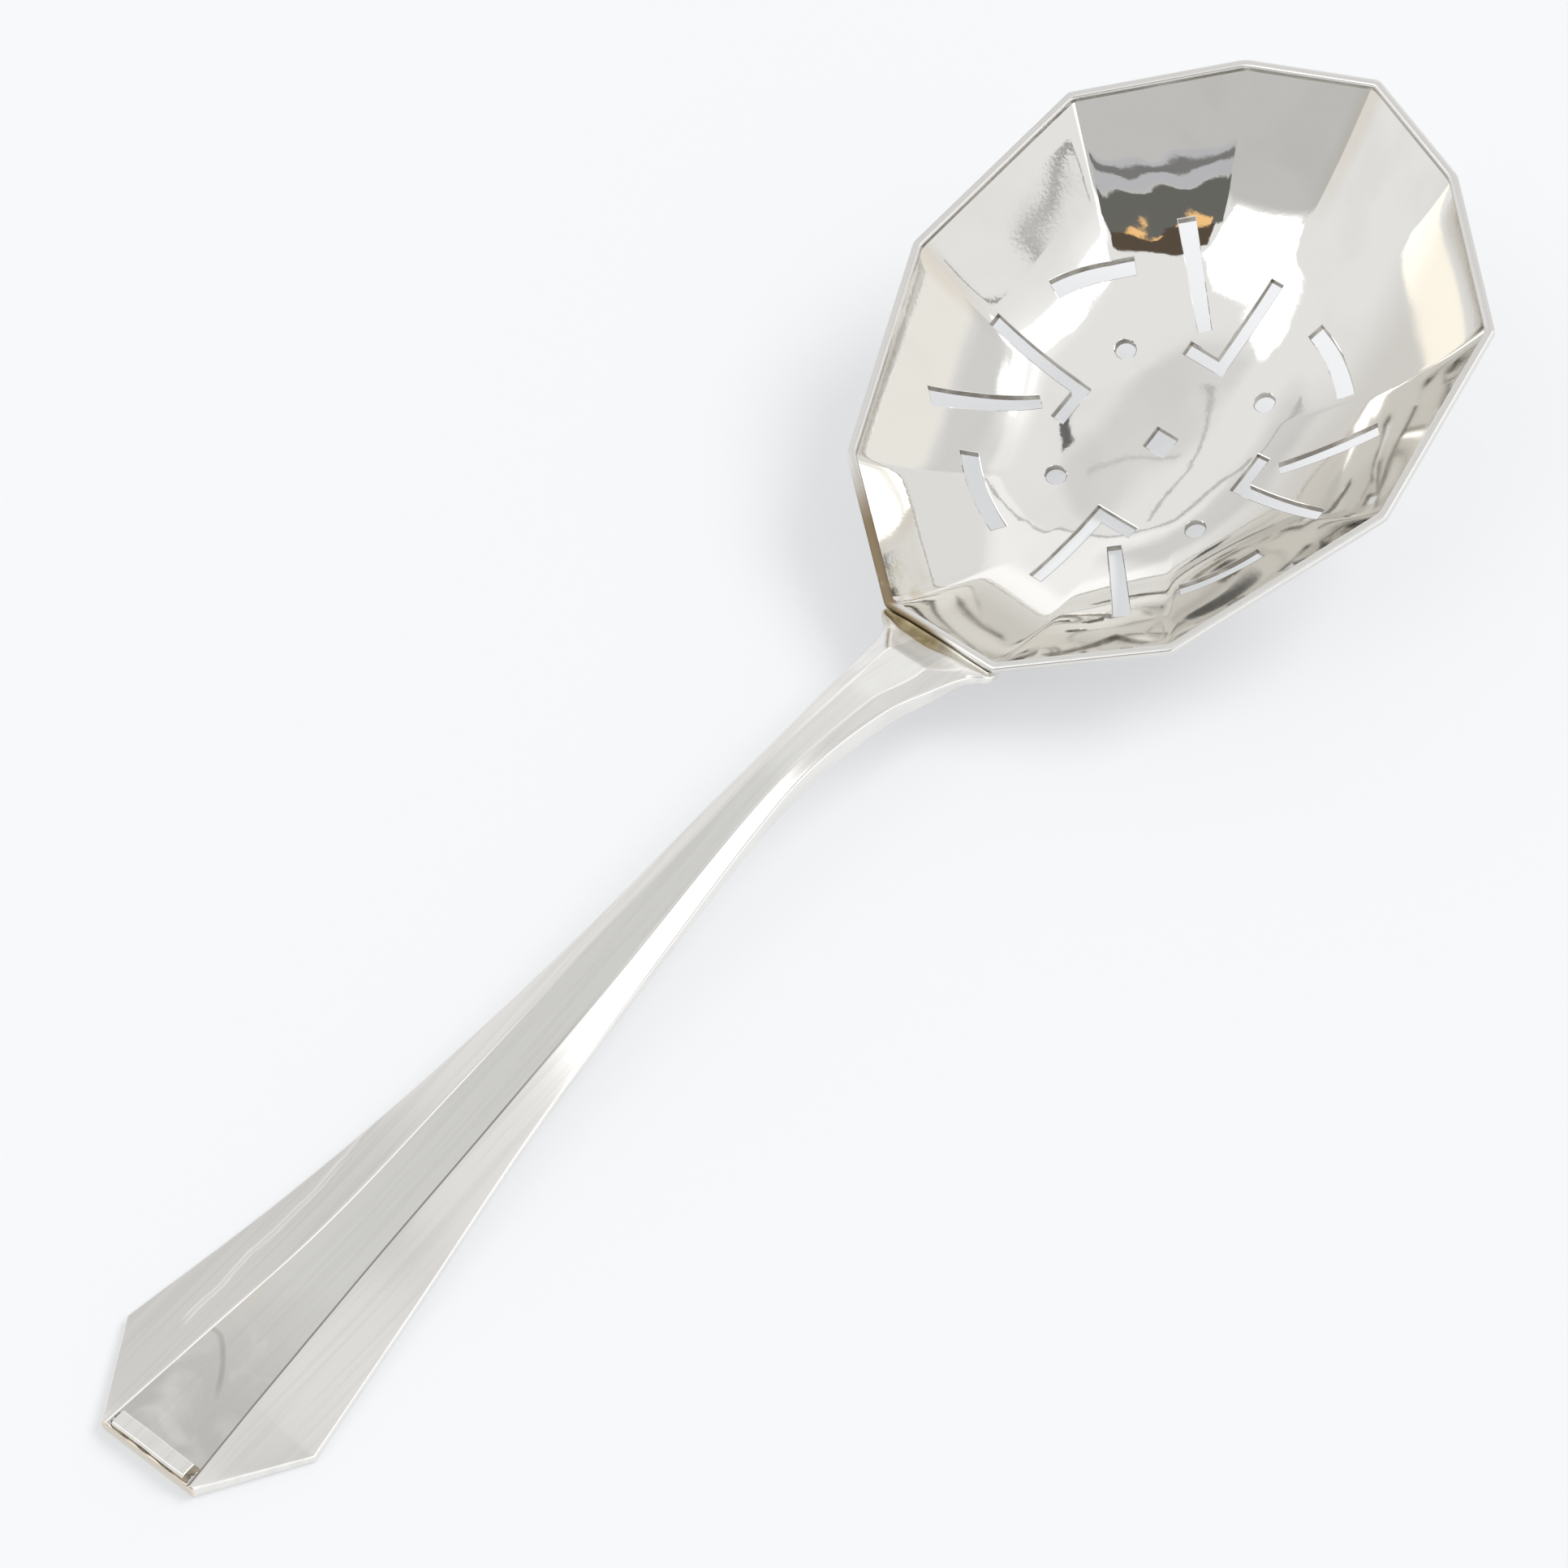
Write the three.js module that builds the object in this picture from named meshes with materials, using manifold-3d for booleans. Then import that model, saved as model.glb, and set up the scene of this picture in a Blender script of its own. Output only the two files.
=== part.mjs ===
// A hand-wrought silver serving spoon: a pierced, faceted bowl edged with wire, soldered to a forged handle.
// It lies as it does on a table: +X runs from the handle to the bowl's tip, +Z is up, and the origin is on
// the table under the middle of its length.
import * as THREE from 'three';
import { mergeVertices } from 'three/addons/utils/BufferGeometryUtils.js';
import Module from 'manifold-3d';

// Driving dimensions of the bowl and its rim, in millimetres and degrees
const bowlLength = 85.3; // joint edge to tip, in the rim's plane
const bowlWidth = 66.6; // across the widest corners
const bowlDepth = 16.3; // rim plane to the inside of the bottom
const bowlCentre = 39.1; // joint edge to the deepest place, level with the widest corners
const rimTilt = 16.2; // how far the rim rises towards the tip
const jointWidth = 15.2; // the short rim edge that lies on the handle
const wallPower = 2.7; // a higher power gives steeper walls and a flatter bottom
const sheetThickness = 1.1; // the bottom
const sheetEdge = 0.8; // the wall's edge, measured level
const wireWidth = 1.1;
const wireHeight = 1.0;
const footFlat = 0.15; // how much of the underside is worn away flat

// Driving dimensions of the piercing, whose motif turns four times about its centre
const piercingCentre = 39.4; // from the joint edge
const squareSide = 3.0;
const roundHole = { diameter: 2.5, reach: 12.8, angle: 54.6 };
const angledSlot = { reach: 10.7, longLeg: 12.8, shortLeg: 5.6, width: 1.7, offset: -1.05 };
const straightSlot = { along: 14.3, across: 3.9, innerWidth: 1.6, outerWidth: 2.1 };
const straightSlotCuts = [ // sawn by eye, so not all alike
  { length: 13.0, angle: 43.5 },
  { length: 12.2, angle: 49 },
  { length: 11.8, angle: 43.5 },
  { length: 11.8, angle: 43.5 },
];
const curvedSlot = { radius: 21.9, width: 2.0, startAngle: 43, endAngle: 69.5 };

// Driving dimensions of the handle
const handleLength = 128.1; // end edge to the rim's joint edge
const endWidth = 12.5;
const endThickness = 1.75;
const endPanelMargin = 0.5; // panel's ridges to the end's corners
const endPanelDrop = 0.1;
const shoulderSetback = 10.7; // end edge to the shoulders
const shoulderWidth = 26.0;
const shoulderThickness = 2.4; // at the panel
const shoulderPanel = 9.7; // width of the panel between the shoulders
const shoulderEdge = 1.1;
const stemEdge = 0.95; // the edges past the shoulders
const undersideBevel = 3; // how far in from the edges the underside is flat
const neckWidth = 5.8;
const neckThickness = 4.6;
const neckEdge = 3.0; // the neck's upright sides
const neckRise = 5.0; // crest of the neck over the rim's joint edge
const flareLength = 2; // the last of the widening before the joint
const jointDrop = 0.95; // rim's top to the handle's top at the joint edge
const hollowCrest = 0.8; // the uncut neck over the rim, where the flare starts
const hollow = { slope: 0.25, curve: 0.04, length: 9 }; // rises from the joint edge back to the neck
const tongueLength = 6.5; // lap under the bowl
const tongueThickness = 2.4;
const tongueTip = 1.4;
const seatBite = 0.4; // how far the bowl is let into the tongue

// The stem's run from the shoulders to the flare. Each row has the share of the way along, of the climb to
// the neck's crest, of the shoulders' panel, of the widening from the neck, of the shoulders' bevel, of
// the thickening and of the edges' growth into the neck's sides.
const stemCurve = [
  { along: 0, climb: 0, panel: 1, width: 1, bevel: 1, thickness: 0, edge: 0 },
  { along: 0.17, climb: 0.1, panel: 0.7, width: 0.67, bevel: 0.85, thickness: 0.12, edge: 0 },
  { along: 0.34, climb: 0.34, panel: 0.59, width: 0.38, bevel: 0.85, thickness: 0.4, edge: 0 },
  { along: 0.52, climb: 0.64, panel: 0.475, width: 0.18, bevel: 1, thickness: 0.7, edge: 0.15 },
  { along: 0.69, climb: 0.93, panel: 0.3, width: 0.04, bevel: 0.7, thickness: 0.95, edge: 0.6 },
  { along: 0.78, climb: 1, panel: 0.27, width: 0, bevel: 0.55, thickness: 1, edge: 1 },
  { along: 0.88, climb: 0.9, panel: 0.33, width: 0.07, bevel: 0.6, thickness: 0.9, edge: 0.9 },
  { along: 0.94, climb: 0.72, panel: 0.5, width: 0.18, bevel: 0.77, thickness: 0.6, edge: 0.6 },
];

// Driving dimensions of the bar on the handle's end
const barLength = 9.8;
const barWidth = 1.9;
const barHeight = 0.6;
const barChamfer = 0.2;
const barSetback = 0.2; // end edge to the bar
const barSolderHeight = 0.15;
const barSolderMargin = 0.15; // past the bar's long sides
const barSolderReach = 0.6; // past its ends

// Clearances and the solder along the rim
const solderFilm = 0.1; // left free where solder meets silver
const barFilm = 0.05;
const seamReach = 2.6; // how far the seam spreads over the handle
const seamDrop = 0.15; // rim's top to the seam's top
const seamMargin = 0.6; // joint corners to the seam's ends

// How finely the curved surfaces are faceted
const wallRings = 12;
const pointsPerSide = 4; // even, so that one lies on the middle of the joint edge
const arcSegments = 12;
const sectionStep = 2.5;

// Finishes
const polishedSilver = { color: 0xd9d8d3, roughness: 0.12, metalness: 1 };
const drawnSilver = { color: 0xd4d4d2, roughness: 0.2, metalness: 1 };
const satinSilver = { color: 0xcfcfcb, roughness: 0.28, metalness: 1 };
const tarnishedSolder = { color: 0x8f7a4c, roughness: 0.45, metalness: 1 };
const darkSolder = { color: 0x6e6650, roughness: 0.5, metalness: 1 };

const tilt = THREE.MathUtils.degToRad(rimTilt);
const wireLean = (wireHeight - solderFilm) * Math.sin(tilt); // its foot reaches past its top at the tip
const overallLength = handleLength + bowlLength * Math.cos(tilt) + wireLean;
const jointX = handleLength - overallLength / 2;
const endX = -overallLength / 2;

const wasm = await Module();
wasm.setup();

// A closed geometry as a solid that can be cut and joined.
function solidOf(geometry) {
  const bare = geometry.clone();
  bare.deleteAttribute('normal');
  bare.deleteAttribute('uv');
  const merged = mergeVertices(bare);
  return new wasm.Manifold(new wasm.Mesh({
    numProp: 3,
    vertProperties: merged.attributes.position.array,
    triVerts: new Uint32Array(merged.index.array),
  }));
}

// A solid's surface as a geometry.
function geometryOf(solid) {
  const mesh = solid.getMesh();
  const geometry = new THREE.BufferGeometry();
  geometry.setAttribute('position', new THREE.BufferAttribute(mesh.vertProperties, 3));
  geometry.setIndex(new THREE.BufferAttribute(mesh.triVerts, 1));
  geometry.computeVertexNormals();
  return geometry;
}

// A closed skin over rings of equally many points, with a fan of faces to a single point at each end.
function skin(rings, firstPoint, lastPoint) {
  const count = rings[0].length;
  const points = [...rings.flat(), firstPoint, lastPoint];
  const first = points.length - 2;
  const last = points.length - 1;
  const faces = [];
  for (let ring = 0; ring < rings.length; ring += 1) {
    for (let i = 0; i < count; i += 1) {
      const here = ring * count + i;
      const beside = ring * count + ((i + 1) % count);
      if (ring === 0) faces.push(first, beside, here);
      if (ring === rings.length - 1) faces.push(last, here, beside);
      else faces.push(here, beside, here + count, beside, beside + count, here + count);
    }
  }
  const geometry = new THREE.BufferGeometry().setFromPoints(points);
  geometry.setIndex(faces);
  return geometry;
}

// A geometry for a flat outline with a thickness, standing on the plane where its third coordinate is zero.
function prism(shape, height) {
  return new THREE.ExtrudeGeometry(shape, { depth: height, bevelEnabled: false, curveSegments: arcSegments });
}

function piece(name, geometry, finish) {
  const mesh = new THREE.Mesh(geometry, new THREE.MeshStandardMaterial(finish));
  mesh.name = name;
  return mesh;
}

// The bowl's own frame has its origin on the middle of the joint edge, X to the tip and Z square to the rim.

// The rim's corners, from the joint up the right side to the tip and back down the left side.
function rimCorners() {
  const half = bowlWidth / 2;
  const right = [
    new THREE.Vector2(0, -jointWidth / 2),
    new THREE.Vector2(0.15 * bowlLength, -0.69 * half),
    new THREE.Vector2(bowlCentre, -half),
    new THREE.Vector2(0.762 * bowlLength, -0.9 * half),
    new THREE.Vector2(0.932 * bowlLength, -0.447 * half),
  ];
  const tip = new THREE.Vector2(bowlLength, 0);
  const left = right.map((corner) => new THREE.Vector2(corner.x, -corner.y)).reverse();
  return [...right, tip, ...left];
}

// The outline with every edge moved inwards by a distance, or outwards by a negative one.
function inset(corners, distance) {
  const count = corners.length;
  return corners.map((corner, i) => {
    const before = corners[(i + count - 1) % count];
    const after = corners[(i + 1) % count];
    const edgeIn = corner.clone().sub(before).normalize();
    const edgeOut = after.clone().sub(corner).normalize();
    const inwardIn = new THREE.Vector2(-edgeIn.y, edgeIn.x);
    const inwardOut = new THREE.Vector2(-edgeOut.y, edgeOut.x);
    const bisector = inwardIn.clone().add(inwardOut).normalize();
    return corner.clone().addScaledVector(bisector, distance / bisector.dot(inwardIn));
  });
}

// The outline as a list of points, several on each side.
function outlinePoints(corners) {
  const points = [];
  corners.forEach((corner, i) => {
    const next = corners[(i + 1) % corners.length];
    for (let k = 0; k < pointsPerSide; k += 1) {
      points.push(corner.clone().lerp(next, k / pointsPerSide));
    }
  });
  return points;
}

// The smooth oval that the facets melt into, in the direction of a point of the outline.
function ovalPoint(outward, corners) {
  const halfWidth = Math.max(...corners.map((corner) => corner.y));
  const reach = Math.max(...corners.map((corner) => corner.x));
  const halfLength = outward.x > 0 ? reach - bowlCentre : bowlCentre;
  return outward.clone().divideScalar(Math.hypot(outward.x / halfLength, outward.y / halfWidth));
}

// Rings of the bowl's wall from near the centre out to the edge. The depth falls off as a power of the share
// of the way out, and the outline changes from oval to faceted on the way.
function wallRingsOf(corners, depth) {
  const centre = new THREE.Vector2(bowlCentre, 0);
  const outline = outlinePoints(corners);
  const rings = [];
  for (let k = 1; k <= wallRings; k += 1) {
    const share = k / wallRings;
    const faceted = THREE.MathUtils.smoothstep(share, 0.3, 0.75);
    rings.push(outline.map((point) => {
      const outward = point.clone().sub(centre);
      const oval = ovalPoint(outward, corners);
      const place = oval.lerp(outward, faceted).multiplyScalar(share).add(centre);
      const height = -wireHeight - (depth - wireHeight) * (1 - share ** wallPower);
      return new THREE.Vector3(place.x, place.y, height);
    }));
  }
  return rings;
}

const rim = rimCorners();
const sheetRim = inset(rim, (wireWidth - sheetEdge) / 2);
const sheetInside = inset(sheetRim, sheetEdge);
const outerDepth = bowlDepth + sheetThickness;
const outerRings = wallRingsOf(sheetRim, outerDepth);

// The joint edge's height is what puts the bowl's worn underside on the table.
function jointHeight() {
  const heights = outerRings.flat().map((point) => point.x * Math.sin(tilt) + point.z * Math.cos(tilt));
  return -Math.min(...heights) - footFlat;
}

const bowlGroup = new THREE.Group();
bowlGroup.position.set(jointX, 0, jointHeight());
bowlGroup.rotation.y = -tilt;
bowlGroup.updateMatrixWorld();

function bottomPoint(depth) {
  return new THREE.Vector3(bowlCentre, 0, -depth);
}

// Everything that the bowl and its wire take up, filled to over the rim, grown by a clearance.
function bowlEnvelope(clearance) {
  const grownRings = wallRingsOf(inset(sheetRim, -clearance * Math.SQRT2), outerDepth + clearance);
  const grownRim = outlinePoints(inset(rim, -clearance));
  const ring = (height) => grownRim.map((point) => new THREE.Vector3(point.x, point.y, height));
  const rings = [...grownRings, ring(-wireHeight - clearance), ring(wireHeight)];
  const top = new THREE.Vector3(bowlCentre, 0, wireHeight);
  return solidOf(skin(rings, bottomPoint(outerDepth + clearance), top).applyMatrix4(bowlGroup.matrixWorld));
}

function squareShape() {
  const half = squareSide / 2;
  return new THREE.Shape([[-half, -half], [half, -half], [half, half], [-half, half]].map(([x, y]) => (
    new THREE.Vector2(x, y)
  )));
}

function angledSlotShape() {
  const { reach, longLeg, shortLeg, width, offset } = angledSlot;
  const shape = new THREE.Shape();
  shape.moveTo(reach, offset);
  shape.lineTo(reach + longLeg, offset);
  shape.lineTo(reach + longLeg, offset + width);
  shape.lineTo(reach + width, offset + width);
  shape.lineTo(reach + width, offset + shortLeg);
  shape.lineTo(reach, offset + shortLeg);
  return shape;
}

function straightSlotShape(length, angle) {
  const { along, across, innerWidth, outerWidth } = straightSlot;
  const turn = THREE.MathUtils.degToRad(angle);
  const start = new THREE.Vector2(along, across);
  const [inner, outer] = [innerWidth / 2, outerWidth / 2];
  const corners = [[0, -inner], [length, -outer], [length, outer], [0, inner]];
  return new THREE.Shape(corners.map(([x, y]) => (
    new THREE.Vector2(x, y).rotateAround(new THREE.Vector2(), turn).add(start)
  )));
}

function curvedSlotShape() {
  const { radius, width, startAngle, endAngle } = curvedSlot;
  const start = THREE.MathUtils.degToRad(startAngle);
  const end = THREE.MathUtils.degToRad(endAngle);
  const shape = new THREE.Shape();
  shape.absarc(0, 0, radius + width / 2, start, end, false);
  shape.absarc(0, 0, radius - width / 2, end, start, true);
  return shape;
}

function roundHoleShape() {
  const { diameter, reach, angle } = roundHole;
  const turn = THREE.MathUtils.degToRad(angle);
  const shape = new THREE.Shape();
  shape.absarc(reach * Math.cos(turn), reach * Math.sin(turn), diameter / 2, 0, 2 * Math.PI, false);
  return shape;
}

// The saw cuts through the bowl, square to the rim: the central square and four turns of the motif.
function piercing() {
  const cutHeight = 2 * outerDepth;
  const cut = (shape, turn) => (
    solidOf(prism(shape, cutHeight).rotateZ(turn).translate(piercingCentre, 0, -cutHeight))
  );
  let cuts = cut(squareShape(), 0);
  straightSlotCuts.forEach(({ length, angle }, quarter) => {
    const straight = straightSlotShape(length, angle);
    [angledSlotShape(), straight, curvedSlotShape(), roundHoleShape()].forEach((shape) => {
      cuts = cuts.add(cut(shape, quarter * Math.PI / 2));
    });
  });
  return cuts;
}

// Everything under the table, in the bowl's frame.
function underTable() {
  const size = overallLength;
  const block = new THREE.BoxGeometry(size, size, size).translate(0, 0, -size / 2);
  return solidOf(block.applyMatrix4(bowlGroup.matrixWorld.clone().invert()));
}

function bowl() {
  const innerRings = wallRingsOf(sheetInside, bowlDepth).reverse();
  const shell = skin([...outerRings, ...innerRings], bottomPoint(outerDepth), bottomPoint(bowlDepth));
  const pierced = solidOf(shell).subtract(piercing()).subtract(underTable());
  return piece('bowl', geometryOf(pierced), polishedSilver);
}

function rimWire() {
  const outline = new THREE.Shape(rim);
  outline.holes.push(new THREE.Path(inset(rim, wireWidth)));
  const wire = prism(outline, wireHeight - solderFilm).translate(0, 0, solderFilm - wireHeight);
  return piece('rim_wire', wire, drawnSilver);
}

// The height of the bowl's outside on its middle line, at a distance past the joint edge.
function wallHeight(past) {
  const middle = (rim.length - 0.5) * pointsPerSide;
  const line = outerRings.map((ring) => ring[middle].clone().applyMatrix4(bowlGroup.matrixWorld)).reverse();
  const x = jointX + past;
  const k = Math.max(line.findIndex((point) => point.x > x), 1);
  return THREE.MathUtils.mapLinear(x, line[k - 1].x, line[k].x, line[k - 1].z, line[k].z);
}

// The handle's cross sections from its shoulders to the tip of the tongue under the bowl. Each has its
// distance from the end edge, its panel's height and half width, its own half width, the drop from the panel
// to the edges, its thickness in the middle and the height of its edges.
function handleStations() {
  const rimHeight = bowlGroup.position.z;
  const jointHalf = jointWidth / 2;
  const stem = stemCurve.map((share) => ({
    distance: THREE.MathUtils.lerp(shoulderSetback, handleLength, share.along),
    top: THREE.MathUtils.lerp(shoulderThickness, rimHeight + neckRise, share.climb),
    panel: share.panel * shoulderPanel / 2,
    half: THREE.MathUtils.lerp(neckWidth / 2, shoulderWidth / 2, share.width),
    drop: share.bevel * (shoulderThickness - shoulderEdge),
    thickness: THREE.MathUtils.lerp(shoulderThickness, neckThickness, share.thickness),
    edge: THREE.MathUtils.lerp(stemEdge, neckEdge, share.edge),
  }));
  const half = tongueLength / 2;
  const seat = (past) => wallHeight(past) + seatBite;
  const crest = rimHeight + hollowCrest;
  const flare = [
    { past: -flareLength, top: crest, panel: 0.3, width: 0.78, drop: 1.6, share: 2.2, edge: 1.4 },
    { past: 0, top: crest - 0.3, panel: 0.33, width: 1.02, drop: 1.6, share: 2.4, edge: 1.2 },
    { past: half, top: seat(half), panel: 0.4, width: 0.86, drop: 0.6, share: 1, edge: 0.95 },
    { past: tongueLength, top: seat(tongueLength), panel: 0.3, width: 0.42, drop: 0.2, share: 0, edge: 0.95 },
  ].map((section) => ({
    distance: handleLength + section.past,
    top: section.top,
    panel: section.panel * jointHalf,
    half: section.width * jointHalf,
    drop: section.drop,
    thickness: THREE.MathUtils.lerp(tongueTip, tongueThickness, section.share),
    edge: section.edge,
  }));
  return [...stem, ...flare];
}

// A section between the stations, on smooth curves whose slope at each station follows its neighbours.
function stationAt(stations, distance) {
  const last = stations.length - 1;
  let i = 0;
  while (i < last - 1 && distance > stations[i + 1].distance) i += 1;
  const span = stations[i + 1].distance - stations[i].distance;
  const t = (distance - stations[i].distance) / span;
  const slope = (k, key) => {
    const before = stations[Math.max(k - 1, 0)];
    const after = stations[Math.min(k + 1, last)];
    return (after[key] - before[key]) / (after.distance - before.distance);
  };
  const smooth = (key) => {
    const pull = slope(i, key) * t * (1 - t) ** 2 - slope(i + 1, key) * t * t * (1 - t);
    const share = t * t * (3 - 2 * t);
    return THREE.MathUtils.lerp(stations[i][key], stations[i + 1][key], share) + pull * span;
  };
  return {
    distance,
    top: smooth('top'),
    panel: smooth('panel'),
    half: smooth('half'),
    drop: smooth('drop'),
    thickness: smooth('thickness'),
    edge: distance > shoulderSetback ? smooth('edge') : shoulderEdge,
  };
}

// A section's eight points, from the panel's right ridge down the right edge, under, and up the left edge.
function sectionPoints({ distance, top, panel, half, drop, edge, thickness }) {
  const edgeTop = top - drop;
  const edgeFoot = Math.max(edgeTop - edge, 0);
  const foot = Math.max(top - thickness, 0);
  const footHalf = Math.max(0.6 * half, half - undersideBevel);
  const right = [[-panel, top], [-half, edgeTop], [-half, edgeFoot], [-footHalf, foot]];
  const left = right.map(([y, z]) => [-y, z]).reverse();
  return [...right, ...left].map(([y, z]) => new THREE.Vector3(endX + distance, y, z));
}

function handleSections() {
  const stations = handleStations();
  const length = stations.at(-1).distance;
  const end = sectionPoints({
    distance: 0,
    top: endThickness,
    panel: endWidth / 2 - endPanelMargin,
    half: endWidth / 2,
    drop: endPanelDrop,
    edge: endThickness,
    thickness: endThickness,
  });
  const sections = [end];
  const steps = Math.ceil((length - shoulderSetback) / sectionStep);
  for (let k = 0; k <= steps; k += 1) {
    const distance = THREE.MathUtils.lerp(shoulderSetback, length, k / steps);
    sections.push(sectionPoints(stationAt(stations, distance)));
  }
  return sections;
}

function middleOf(points) {
  const sum = points.reduce((total, point) => total.add(point), new THREE.Vector3());
  return sum.divideScalar(points.length);
}

// The handle before the bowl's seat is cut in its tongue.
function forgedBar() {
  const sections = handleSections();
  return solidOf(skin(sections, middleOf(sections[0]), middleOf(sections.at(-1))));
}

// What is filed away over the joint: a hollow that rises from the joint edge back to the neck.
function neckHollow() {
  const floor = bowlGroup.position.z - jointDrop;
  const outline = [new THREE.Vector2(jointX + flareLength, floor)];
  const steps = 18;
  for (let k = 0; k <= steps; k += 1) {
    const back = hollow.length * k / steps;
    outline.push(new THREE.Vector2(jointX - back, floor + hollow.slope * back + hollow.curve * back * back));
  }
  const above = outline.at(-1).y + 1;
  outline.push(new THREE.Vector2(jointX - hollow.length, above));
  outline.push(new THREE.Vector2(jointX + flareLength, above));
  const width = 2 * jointWidth;
  const block = prism(new THREE.Shape(outline.reverse()), width).translate(0, 0, -width / 2);
  return solidOf(block.rotateX(Math.PI / 2));
}

const handleSolid = forgedBar().subtract(bowlEnvelope(solderFilm)).subtract(neckHollow());

function handle() {
  return piece('handle', geometryOf(handleSolid), satinSilver);
}

// The solder fills the valley between the handle and the rim's joint edge, and thins out over the handle.
function solderSeam() {
  const rimTop = bowlGroup.position.z;
  const half = jointWidth / 2 - seamMargin;
  const plan = new THREE.Shape([[-seamReach, -half / 2], [wireHeight, -half], [wireHeight, half],
    [-seamReach, half / 2]].map(([x, y]) => new THREE.Vector2(x, y)));
  const block = solidOf(prism(plan, wireHeight - seamDrop).translate(jointX, 0, rimTop - wireHeight));
  const lifted = handleSolid.translate([0, 0, solderFilm]);
  const seam = block.subtract(lifted).subtract(bowlEnvelope(solderFilm));
  const pieces = seam.decompose().sort((a, b) => b.volume() - a.volume());
  return piece('solder_seam', geometryOf(pieces[0]), tarnishedSolder);
}

// The bar's frame lies on the panel, with its origin on the middle of the end edge.
function endBarGroup() {
  const group = new THREE.Group();
  group.position.set(endX, 0, endThickness);
  group.rotation.y = -Math.atan2(shoulderThickness - endThickness, shoulderSetback);

  const solderWidth = barWidth + 2 * barSolderMargin;
  const solderLength = barLength + 2 * barSolderReach;
  const pad = new THREE.BoxGeometry(solderWidth, solderLength, barSolderHeight);
  pad.translate(barSetback + barWidth / 2, 0, barFilm + barSolderHeight / 2);
  group.add(piece('bar_solder', pad, darkSolder));

  const half = barWidth / 2;
  const chamferFoot = barHeight - barChamfer;
  const section = new THREE.Shape();
  section.moveTo(-half, 0);
  section.lineTo(half, 0);
  section.lineTo(half, chamferFoot);
  section.lineTo(half - barChamfer, barHeight);
  section.lineTo(barChamfer - half, barHeight);
  section.lineTo(-half, chamferFoot);
  const bar = prism(section, barLength).translate(0, 0, -barLength / 2).rotateX(Math.PI / 2);
  bar.translate(barSetback + half, 0, 2 * barFilm + barSolderHeight);
  group.add(piece('end_bar', bar, satinSilver));
  return group;
}

bowlGroup.add(bowl(), rimWire());
const spoon = new THREE.Group();
spoon.add(bowlGroup, handle(), solderSeam(), endBarGroup());

export default spoon;
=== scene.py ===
"""A hand-wrought silver serving spoon on a pale table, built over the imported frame.

Sizes are in millimetres and become metres when a mesh is made. The studio's places and the reliefs'
depths are in metres. The bowl has its own frame, with the origin on the middle of the joint edge, the first
axis to the tip, the second to the left and the third square to the rim.
"""
import logging
import math
from dataclasses import dataclass, field, replace
from enum import Enum

import bpy
import numpy as np
from mathutils import Matrix, Vector
from mathutils.geometry import delaunay_2d_cdt


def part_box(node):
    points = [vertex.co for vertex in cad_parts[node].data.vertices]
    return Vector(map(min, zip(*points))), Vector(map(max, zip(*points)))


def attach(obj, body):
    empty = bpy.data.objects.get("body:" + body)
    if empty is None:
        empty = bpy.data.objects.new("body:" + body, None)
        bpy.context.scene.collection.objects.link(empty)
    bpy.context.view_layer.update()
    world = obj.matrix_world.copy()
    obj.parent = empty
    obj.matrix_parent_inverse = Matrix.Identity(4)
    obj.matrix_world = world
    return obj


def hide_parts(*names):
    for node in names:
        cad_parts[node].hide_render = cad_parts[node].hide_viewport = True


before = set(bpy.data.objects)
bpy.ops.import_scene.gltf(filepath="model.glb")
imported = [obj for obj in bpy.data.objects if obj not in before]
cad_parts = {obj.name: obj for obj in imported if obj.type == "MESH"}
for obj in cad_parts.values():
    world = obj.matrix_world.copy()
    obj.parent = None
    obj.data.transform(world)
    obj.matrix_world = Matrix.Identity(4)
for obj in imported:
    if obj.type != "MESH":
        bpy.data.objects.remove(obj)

Array = np.ndarray
Colour = tuple[float, float, float, float]
Pair = tuple[float, float]
Noise = tuple[float, float, float]
LOG = logging.getLogger("spoon")
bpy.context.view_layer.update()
METRES = 0.001
BODY = "root"
TINY = 1e-20
ROUNDING_LIMIT = 0.45
NOISE_MIDDLE = 0.5


class Slot(Enum):
    """The record's material slots."""

    BOWL = "bowl_silver"
    WIRE = "wire_silver"
    HANDLE = "handle_silver"
    SOLDER = "solder"


def smooth_step(values: Array, low: float, high: float) -> Array:
    """Ease from 0 at low to 1 at high by 3t^2 - 2t^3.

    Args:
        values: Numbers of any shape.
        low: Where the step starts.
        high: Where the step ends.

    Returns:
        The eased numbers.
    """
    t = np.clip((values - low) / (high - low), 0.0, 1.0)
    return t * t * (3.0 - 2.0 * t)


def unit(vectors: Array) -> Array:
    """Scale vectors on the last axis to length one."""
    return vectors / np.maximum(np.linalg.norm(vectors, axis=-1, keepdims=True), TINY)


def lifted(plan: Array, heights: Array | float) -> Array:
    """Put points of a plan at their heights.

    Args:
        plan: Points with two coordinates on the last axis.
        heights: A height for each point, or one for all.

    Returns:
        Points with three coordinates.
    """
    levels = np.broadcast_to(heights, plan.shape[:-1])
    return np.concatenate([plan, levels[..., None]], axis=-1)


def circle(angles: Array) -> Array:
    """Points of the unit circle at angles in radians."""
    return np.stack([np.cos(angles), np.sin(angles)], axis=-1)


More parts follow.
